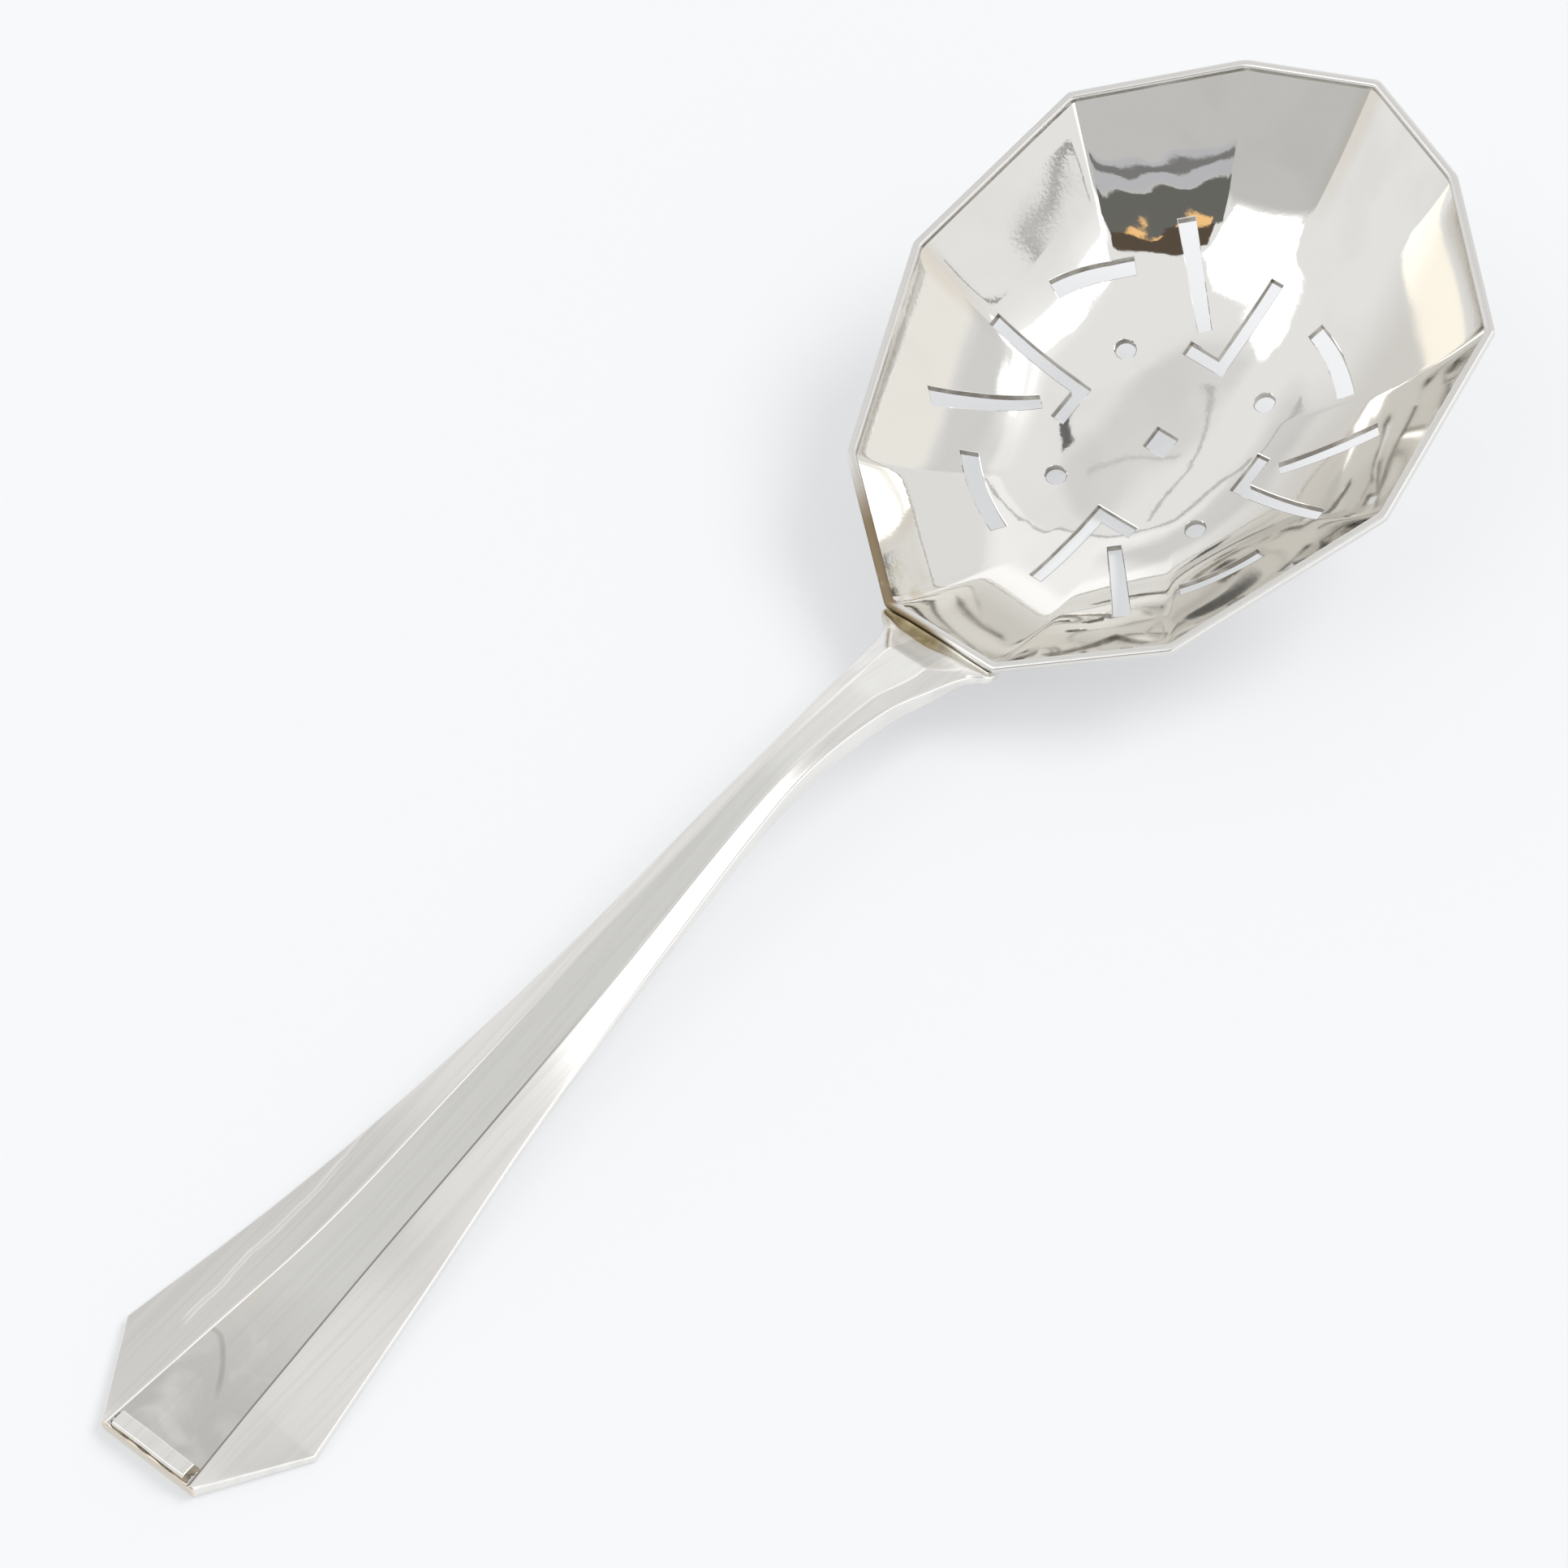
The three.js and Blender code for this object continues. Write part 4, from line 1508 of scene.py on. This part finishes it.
    def sections(self, distance: Array) -> Array:
        """The rounded sections at distances from the end edge.

        Args:
            distance: The distances.

        Returns:
            Sections by points by sideways place and height, clockwise seen from the end.
        """
        size = self.sizes(distance)
        top, half = size["top"], size["half"]
        edge_top = top - size["drop"]
        edge_foot = np.maximum(edge_top - size["edge"], 0.0)
        foot = np.maximum(top - size["thickness"], 0.0)
        foot_half = np.maximum(self.least_foot * half, half - self.underside_bevel)
        right = np.stack([
            np.stack([self.lip_width - size["panel"], top], axis=-1),
            np.stack([-self.lip_width - size["panel"], top + size["lip"]], axis=-1),
            np.stack([-half, edge_top], axis=-1),
            np.stack([-half, edge_foot], axis=-1),
            np.stack([-foot_half, foot], axis=-1),
        ], axis=1)
        corners = np.concatenate([right, right[:, ::-1] * (-1.0, 1.0)], axis=1)
        neck = smooth_step(distance, *self.softening)[:, None]
        crisp, soft = (np.array([*radii, *radii[::-1]]) for radii in (self.crisp, self.soft))
        return rounded(corners, crisp * (1.0 - neck) + soft * neck, self.arc, self.side)

    def marks(self, count: int) -> dict[str, Array]:
        """Marks of 0 or 1 on the points of the sections, for the panel and for the groove on its right, where
        shade is painted.

        Args:
            count: The number of sections.

        Returns:
            The marks by name, for all points in order.
        """
        run = self.arc + self.side
        corners = 2 * len(self.crisp)
        number = np.arange(corners * run)
        panel = (number > (corners - 1) * run + self.arc // 2) | (number < self.arc // 2)
        # The groove's points, where the finish paints shade.
        shaded_groove = (number >= self.arc // 2) & (number < run + self.arc // 2)
        return {"panel": np.tile(panel, count), "shaded_groove": np.tile(shaded_groove, count)}

    def hollow(self, x: Array) -> Array:
        """The height of the hollow that falls from the neck to the joint edge on a parabola.

        Args:
            x: Places along the spoon.

        Returns:
            The heights.
        """
        before = np.maximum(self.bowl.place.x - x, 0.0)
        foot = self.bowl.place.z - self.joint_drop
        return foot + self.hollow_slope * before + self.hollow_curve * before ** 2

    def hollowed(self, points: Array) -> Array:
        """Cut the hollow into the neck, with a rounded crest where the two surfaces meet.

        A height z becomes -k log(exp(-z/k) + exp(-h/k)), a smooth lesser of it and the hollow's height h.

        Args:
            points: Points in the spoon's frame.

        Returns:
            The points at their new heights.
        """
        k = self.hollow_round
        floor = self.hollow(points[..., 0])
        over = np.logaddexp(-points[..., 2] / k, -floor / k)
        return lifted(points[..., :2], -k * over)

    def top_height(self, x: Array, y: Array) -> Array:
        """The height of the handle's upper face at places near the joint.

        Args:
            x: Places along the spoon.
            y: Places across it.

        Returns:
            The lowest of the panel, the bevel beside it and the hollow.
        """
        size = self.sizes(x - self.end_x)
        slope = size["drop"] / np.maximum(size["half"] - size["panel"], self.least_bevel)
        face = size["top"] - slope * np.maximum(np.abs(y) - size["panel"], 0.0)
        return np.minimum(face, self.hollow(x))

    def seated(self, points: Array) -> Array:
        """Lower the points that would lie in the bowl or its wire to just under them.

        Args:
            points: Points in the spoon's frame.

        Returns:
            The points at their new heights.
        """
        inside = self.bowl.place.from_spoon(points)
        plan = inside[..., :2]
        rim_gauge, _ = self.bowl.gauges(plan, self.bowl.corners())
        sheet_gauge, _ = self.bowl.gauges(plan, self.bowl.outer_outline())
        limit = np.where(sheet_gauge < 1.0, self.bowl.under(plan), -self.bowl.wire_height) - self.film
        lowered = np.where(rim_gauge < 1.0, np.minimum(inside[..., 2], limit), inside[..., 2])
        return self.bowl.place.to_spoon(lifted(plan, lowered))

    def build(self) -> bpy.types.Object:
        """Carry the sections along the handle, close both ends and dress it.

        Returns:
            The piece.
        """
        draft = MeshDraft()
        total = self.length + self.tongue_length
        neck = self.length - self.joint_zone
        stem = np.arange(self.first_section, neck, self.step)
        flare = np.arange(neck, total, self.joint_step)
        distance = np.unique(np.concatenate([stem, [self.shoulder_setback], flare]))
        profile = self.sections(distance)
        middle = profile.mean(axis=1, keepdims=True)
        places, shrinks = zip(*self.end_rounding)
        ends = [self.shrunk(profile[:1], middle[:1], shrink) for shrink in shrinks]
        profile = np.concatenate([*ends, profile])
        distance = np.concatenate([places, distance])
        along = np.broadcast_to((self.end_x + distance)[:, None, None], (*profile.shape[:2], 1))
        points = self.seated(self.hollowed(np.concatenate([along, profile], axis=-1)))
        points[..., 2] = np.maximum(points[..., 2], 0.0)
        draft.add_tube(points, clockwise=True)
        draft.marks = self.marks(len(points))
        finish = HandleSilver().material(self.end_x, self.bowl.place)
        return draft.to_piece("handle_forged", [finish], ("handle",))

    @staticmethod
    def shrunk(profile: Array, middle: Array, distance: float) -> Array:
        """Draw a section in towards its middle by a distance, on both of its axes.

        Args:
            profile: The section's points.
            middle: Its middle.
            distance: How far its sides move in.

        Returns:
            The smaller section.
        """
        offset = profile - middle
        reach = np.abs(offset).max(axis=1, keepdims=True)
        return middle + offset * (1.0 - distance / reach)


@dataclass
class SolderSeam:
    """The solder in the valley between the handle's hollow and the rim's joint edge.

    At a share t of the way out over the handle its top stands a rise times (1-t)^2 over the handle. It ran
    to the left, and is widest and highest there. The fills are shares of the joint's half width.
    """

    bowl: Bowl
    handle: Handle
    reach: float = 1.5
    least_reach: float = 0.35
    margin: float = 0.3
    narrowing: float = 0.05
    rise: float = 0.6
    least_rise: float = 0.35
    depth: float = 0.25
    overlap: float = 0.02
    right_fill: Pair = (-0.9, 0.1)
    left_fill: Pair = (1.0, 0.55)
    wander: float = 0.1
    wander_turns: Pair = (6.0, 1.0)
    rows: int = 61
    columns: int = 13
    finish: Solder = Solder("seam_solder", (0.41, 0.34, 0.20, 1.0), (0.24, 0.19, 0.10, 1.0), 0.28,
                            clean_side=-2.0)

    def build(self) -> bpy.types.Object:
        """Carry the fillet's section along the joint edge, close its ends and dress it.

        Returns:
            The piece.
        """
        draft = MeshDraft()
        side = np.linspace(-1.0, 1.0, self.rows)[:, None]
        out = np.linspace(0.0, 1.0, self.columns)[None, :]
        half = self.bowl.joint_width / 2 - self.margin
        fullness = smooth_step(side, *self.right_fill) * smooth_step(side, *self.left_fill)
        turns, phase = self.wander_turns
        wander = 1.0 + self.wander * np.sin(turns * side + phase)
        reach = (self.least_reach + (self.reach - self.least_reach) * fullness) * wander
        x = self.bowl.place.x + self.overlap - reach * out
        y = half * side * (1.0 - self.narrowing * out)
        base = self.handle.top_height(x, y)
        rise = self.rise * (self.least_rise + (1.0 - self.least_rise) * fullness)
        top = base + self.overlap + rise * (1.0 - out) ** 2
        upper = np.stack([x, y, top], axis=-1)
        lower = np.stack([x, y, base - self.depth], axis=-1)
        loop = np.concatenate([upper, lower[:, ::-1]], axis=1)
        draft.add_tube(loop)
        finish = self.finish.material()
        return draft.to_piece("joint_solder", [finish], ("solder_seam",))


@dataclass
class EndBar:
    """The small bar across the handle's end and the solder that it sits in.

    The bar is a chamfered section carried across the panel, drawn in at both ends. The solder's steps are
    shares of its spread past the bar and of its height.
    """

    handle: Handle
    length: float = 9.8
    width: float = 1.9
    height: float = 0.6
    chamfer: float = 0.2
    setback: float = 0.2
    edge_radius: float = 0.06
    end_rounding: tuple[Pair, ...] = ((0.0, 0.12), (0.05, 0.04), (0.14, 0.0))
    end_zone: float = 0.3
    sway: float = 0.02
    sway_turns: Pair = (0.9, 0.6)
    columns: int = 25
    arc: int = 4
    side: int = 3
    solder_height: float = 0.15
    solder_margin: float = 0.15
    solder_reach: float = 0.6
    solder_steps: tuple[Pair, ...] = ((1.0, 0.0), (0.75, 0.5), (0.25, 0.85), (-0.5, 1.0))
    solder_spread: Pair = (0.4, 1.0)
    solder_power: float = 16.0
    solder_points: int = 120
    film: float = 0.05
    solder: Solder = Solder("bar_solder", (0.40, 0.35, 0.27, 1.0), (0.16, 0.13, 0.10, 1.0), 0.4)

    def place(self) -> Placing:
        """The panel's frame at the middle of the end edge.

        Returns:
            The frame, tilted as the panel is.
        """
        rise = self.handle.shoulder_thickness - self.handle.end_thickness
        tilt = math.atan2(rise, self.handle.shoulder_setback)
        return Placing(self.handle.end_x, self.handle.end_thickness, tilt)

    def build(self) -> list[bpy.types.Object]:
        """Make the bar and its solder."""
        return [self.build_bar(), self.build_solder()]

    def build_bar(self) -> bpy.types.Object:
        """Carry the bar's section across the panel, close its ends and dress it.

        Returns:
            The piece.
        """
        draft = MeshDraft()
        half, chamfer = self.width / 2, self.chamfer
        corners = np.array([[
            (-half, 0.0), (half, 0.0), (half, self.height - chamfer), (half - chamfer, self.height),
            (chamfer - half, self.height), (-half, self.height - chamfer),
        ]])
        radii = np.full(corners.shape[:2], self.edge_radius)
        profile = rounded(corners, radii, self.arc, self.side)[0]
        end = self.length / 2
        place, inset = np.array(self.end_rounding).T
        middle = np.linspace(-end + self.end_zone, end - self.end_zone, self.columns)
        across = np.concatenate([-end + place, middle, (end - place)[::-1]])
        shrink = np.concatenate([inset, np.zeros_like(middle), inset[::-1]])[:, None]
        along = profile[:, 0] * (1.0 - shrink / half)
        up = profile[:, 1] * (1.0 - shrink / self.height)
        turns, phase = self.sway_turns
        sway = self.sway * np.sin(turns * across + phase)[:, None]
        sides = np.broadcast_to(across[:, None], along.shape)
        base = 2 * self.film + self.solder_height
        points = np.stack([self.setback + half + along + sway, sides, base + up], axis=-1)
        draft.add_tube(self.place().to_spoon(points))
        finish = HandleSilver().material(self.handle.end_x, self.handle.bowl.place)
        return draft.to_piece("bar_across_end", [finish], ("end_bar",))

    def build_solder(self) -> bpy.types.Object:
        """Make the low mound round the bar, whose edge wanders as it ran, and dress it.

        Returns:
            The piece.
        """
        draft = MeshDraft()
        turn = np.linspace(0.0, math.tau, self.solder_points, endpoint=False)
        blobs = 0.3 * np.sin(3.0 * turn + 0.5) * np.sin(8.0 * turn)
        teeth = 0.2 * np.sin(13.0 * turn)
        spread = np.clip(0.8 + blobs + teeth, *self.solder_spread)
        shape = circle(turn)
        power = self.solder_power
        square = shape / np.power(np.power(np.abs(shape), power).sum(axis=1), 1.0 / power)[:, None]
        centre = self.setback + self.width / 2
        top = 2 * self.film + self.solder_height
        rings = []
        for out, height in self.solder_steps:
            size = np.stack([
                self.width / 2 + self.solder_margin * spread * out,
                self.length / 2 + self.solder_reach * spread * out,
            ], axis=1)
            plan = square * size + (centre, 0.0)
            rings.append(lifted(plan, -self.film + (top + self.film) * height))
        points = self.place().to_spoon(np.stack(rings))
        points[..., 0] = np.maximum(points[..., 0], self.handle.end_x)
        draft.add_tube(points, clockwise=True)
        finish = self.solder.material()
        return draft.to_piece("bar_solder_run", [finish], ("bar_solder",))


def direction(azimuth: float, elevation: float) -> Vector:
    """The way to a place round the spoon.

    Args:
        azimuth: Degrees from the spoon's length towards its left.
        elevation: Degrees over the table's plane.

    Returns:
        The way to it, of length one.
    """
    turn, rise = math.radians(azimuth), math.radians(elevation)
    return Vector((math.cos(turn) * math.cos(rise), math.sin(turn) * math.cos(rise), math.sin(rise)))


@dataclass(frozen=True)
class Panel:
    """A patch of the light tent.

    Attributes:
        azimuth: Where it is, in degrees from the spoon's length towards its left.
        elevation: Its height over the table's plane, in degrees.
        width: Half its width, in degrees.
        height: Half its height, in degrees.
        blur: How far its edges fade, in degrees.
        colour: What it shows.
        turn: How far it leans over to its left, in degrees.
        wavy: Whether its edges are wavy.
        front: The cosine to its middle over which it fades in, so that the tent's other half has no twin.
    """

    azimuth: float
    elevation: float
    width: float
    height: float
    blur: float
    colour: Colour
    turn: float = 0.0
    wavy: bool = True
    front: float = 0.05

    def axes(self) -> tuple[Vector, Vector, Vector]:
        """The panel's own axes.

        Returns:
            The ways to its middle, along its width and along its height.
        """
        middle = direction(self.azimuth, self.elevation)
        right = Vector((-middle.y, middle.x, 0.0)).normalized()
        up = middle.cross(right)
        c, s = math.cos(math.radians(self.turn)), math.sin(math.radians(self.turn))
        return middle, right * c + up * s, up * c - right * s

    def mask(self, graph: Graph, way: bpy.types.NodeSocket) -> Signal:
        """How much of the panel is seen each way, from 0 to 1.

        Args:
            graph: The tent's graph.
            way: The way that is looked.

        Returns:
            The mask.
        """
        parts = [
            graph.number("ShaderNodeVectorMath", {"operation": "DOT_PRODUCT"}, {0: way, 1: axis}, "Value")
            for axis in self.axes()
        ]
        found = parts[0].step(0.0, self.front)
        for part, size in zip(parts[1:], (self.width, self.height)):
            inner = math.sin(math.radians(max(size - self.blur / 2, 0.0)))
            outer = math.sin(math.radians(size + self.blur / 2))
            found = found * abs(part).step(outer, inner)
        return found


def grey(level: float) -> Colour:
    """A plain grey."""
    return (level, level, level, 1.0)


@dataclass
class Studio:
    """A pale table in a light tent, a lamp for the table's shadows, and the camera.

    The tent has a bright foot on the right, a pale wall at the far end with a seam along its top, a greyer
    side by the camera, two bright windows, and the dark edge of what stands behind the camera.
    """

    table_colour: Colour = (0.965, 0.98, 1.0, 1.0)
    table_glow: float = 0.5
    table_shade: float = 0.68
    table_reach: float = 12.0
    table_drop: float = 0.00005
    lamp_way: Pair = (-30.0, 50.0)
    lamp_strength: float = 1.85
    lamp_spread: float = 30.0
    tent_colour: Colour = grey(0.82)
    tent_waves: Noise = (11.0, 4.0, 0.0)
    tent_bend: float = 0.07
    panels: tuple[Panel, ...] = (
        Panel(28.0, 36.0, 27.0, 23.0, 2.0, grey(0.925)),
        Panel(28.0, 24.0, 20.0, 10.0, 6.0, grey(1.05)),
        Panel(72.0, 43.0, 18.0, 8.0, 10.0, grey(0.66)),
        Panel(80.0, 73.0, 14.0, 5.0, 5.0, grey(0.70)),
        Panel(37.0, 59.4, 40.0, 0.4, 0.5, grey(0.50)),
        Panel(-80.0, 3.0, 50.0, 7.5, 3.0, grey(1.8)),
        Panel(-116.0, 35.0, 11.0, 22.0, 8.0, grey(1.2)),
        Panel(-152.0, 28.0, 32.0, 17.5, 3.0, grey(0.55)),
        Panel(-45.0, 20.0, 18.0, 12.0, 8.0, (0.86, 0.84, 0.805, 1.0)),
        Panel(-42.0, 41.0, 12.0, 10.0, 7.0, grey(0.66)),
        Panel(-11.0, 26.0, 14.0, 14.0, 10.0, grey(0.76)),
        Panel(-86.5, 29.5, 0.15, 9.0, 0.2, grey(0.12), turn=16.0, wavy=False),
        Panel(-68.0, 58.0, 16.0, 10.0, 14.0, grey(1.02)),
        Panel(-67.0, 49.5, 11.5, 7.5, 3.0, grey(2.0)),
        Panel(-65.0, 64.0, 5.0, 2.2, 2.5, grey(1.45)),
        Panel(-93.0, 58.0, 6.0, 7.0, 2.0, grey(1.6)),
        Panel(154.0, 57.5, 18.0, 10.5, 2.0, grey(2.2)),
        Panel(107.0, 4.0, 10.0, 7.0, 2.0, (1.30, 1.26, 1.16, 1.0)),
        Panel(-148.0, 36.0, 16.0, 5.0, 1.0, (0.50, 0.50, 0.53, 1.0)),
        Panel(-148.0, 34.0, 16.0, 1.5, 1.0, grey(0.20)),
        Panel(-149.0, 47.0, 16.0, 5.0, 1.0, (0.14, 0.14, 0.13, 1.0)),
        Panel(-153.0, 55.5, 5.0, 4.0, 0.8, (0.10, 0.075, 0.055, 1.0)),
        Panel(-152.0, 51.0, 2.0, 1.3, 0.6, (0.95, 0.58, 0.25, 1.0)),
        Panel(25.7, 79.4, 4.2, 1.6, 0.5, grey(0.14), turn=-49.0),
        Panel(78.0, 65.5, 8.2, 0.3, 0.4, grey(0.50), turn=37.0),
        Panel(65.0, 70.7, 4.6, 0.25, 0.4, grey(0.55), turn=-19.0),
    )
    camera_place: tuple[float, float, float] = (-0.2466, -0.1972, 0.4213)
    camera_forward: tuple[float, float, float] = (0.4689, 0.3813, -0.7967)
    focal_pixels: float = 5868.0
    image_pixels: float = 1932.0
    sensor: float = 36.0
    clip_start: float = 0.01

    def build(self) -> None:
        """Make the camera, the table, the tent and the lamp."""
        self.build_camera()
        self.build_table()
        self.build_tent()
        self.build_lamp()
        bpy.context.scene.view_settings.view_transform = "Standard"

    def build_camera(self) -> None:
        """Put the camera where the photograph was taken from, upright over the table."""
        data = bpy.data.cameras.new("camera")
        data.sensor_width = self.sensor
        data.lens = self.focal_pixels / self.image_pixels * self.sensor
        data.clip_start = self.clip_start
        camera = bpy.data.objects.new("camera", data)
        bpy.context.scene.collection.objects.link(camera)
        forward = Vector(self.camera_forward).normalized()
        right = forward.cross(Vector((0.0, 0.0, 1.0))).normalized()
        up = right.cross(forward)
        turn = Matrix((right, up, -forward)).transposed().to_4x4()
        camera.matrix_world = Matrix.Translation(self.camera_place) @ turn
        bpy.context.scene.camera = camera

    def build_table(self) -> None:
        """Lay a wide plain table just under the spoon, clear when seen from below.

        It glows a little where it is looked at or mirrored, which keeps its shadows pale.
        """
        reach, drop = self.table_reach, -self.table_drop
        mesh = bpy.data.meshes.new("table")
        corners = [(-reach, -reach, drop), (reach, -reach, drop), (reach, reach, drop), (-reach, reach, drop)]
        mesh.from_pydata(corners, [], [(0, 1, 2, 3)])
        table = bpy.data.objects.new("table", mesh)
        bpy.context.scene.collection.objects.link(table)
        material, graph = new_material("table")
        shaded = (*(level * self.table_shade for level in self.table_colour[:3]), 1.0)
        plain = graph.add("ShaderNodeBsdfDiffuse", {}, {"Color": shaded})
        clear = graph.add("ShaderNodeBsdfTransparent")
        below = graph.add("ShaderNodeNewGeometry").outputs["Backfacing"]
        glow = graph.add("ShaderNodeEmission", {}, {"Color": self.table_colour, "Strength": 1.0})
        path = graph.add("ShaderNodeLightPath")
        seen, mirrored = (Signal(graph, path.outputs[ray]) for ray in ("Is Camera Ray", "Is Glossy Ray"))
        inputs = {0: seen.most(mirrored) * self.table_glow, 1: plain.outputs[0], 2: glow.outputs[0]}
        pale = graph.add("ShaderNodeMixShader", {}, inputs)
        inputs = {0: below, 1: pale.outputs[0], 2: clear.outputs[0]}
        mixed = graph.add("ShaderNodeMixShader", {}, inputs)
        graph.add("ShaderNodeOutputMaterial", {}, {"Surface": mixed.outputs[0]})
        mesh.materials.append(material)

    def bent(self, graph: Graph, way: bpy.types.NodeSocket) -> bpy.types.NodeSocket:
        """Bend the way that is looked by noise.

        Args:
            graph: The tent's graph.
            way: The way that is looked.

        Returns:
            The bent way.
        """
        noise = graph.noise(way, *self.tent_waves).socket.node.outputs["Color"]
        inputs = {0: noise, 1: (NOISE_MIDDLE,) * 3}
        centred = graph.add("ShaderNodeVectorMath", {"operation": "SUBTRACT"}, inputs).outputs[0]
        inputs = {0: centred, 1: (self.tent_bend,) * 3, 2: way}
        return graph.add("ShaderNodeVectorMath", {"operation": "MULTIPLY_ADD"}, inputs).outputs[0]

    def build_tent(self) -> None:
        """Light the scene from a tent of panels, which the camera sees as one pale backdrop."""
        world = bpy.data.worlds.new("tent")
        world.use_nodes = True
        bpy.context.scene.world = world
        graph = Graph(world.node_tree)
        way = graph.add("ShaderNodeTexCoord").outputs["Generated"]
        wavy = self.bent(graph, way)
        colour = self.tent_colour
        for panel in self.panels:
            colour = graph.mix(panel.mask(graph, wavy if panel.wavy else way), colour, panel.colour)
        seen = graph.number("ShaderNodeLightPath", {}, {}, "Is Camera Ray")
        shown = graph.mix(seen, colour, self.table_colour)
        light = graph.add("ShaderNodeBackground", {}, {"Color": shown, "Strength": 1.0})
        graph.add("ShaderNodeOutputWorld", {}, {"Surface": light.outputs[0]})

    def build_lamp(self) -> None:
        """Hang a soft lamp on the right, which the metal does not show, for the table's shadows."""
        data = bpy.data.lights.new("lamp", "SUN")
        data.energy = self.lamp_strength
        data.angle = math.radians(self.lamp_spread)
        lamp = bpy.data.objects.new("lamp", data)
        lamp.rotation_euler = direction(*self.lamp_way).to_track_quat("Z", "Y").to_euler()
        lamp.visible_glossy = False
        bpy.context.scene.collection.objects.link(lamp)


def main() -> None:
    """Build the studio and the spoon's pieces in order."""
    logging.basicConfig(level=logging.INFO, format="%(name)s %(message)s")
    Studio().build()
    bowl = Bowl()
    handle = Handle(bowl)
    for assembly in (bowl, RimWire(bowl), handle, SolderSeam(bowl, handle), EndBar(handle)):
        assembly.build()


if __name__ == "__main__":
    main()
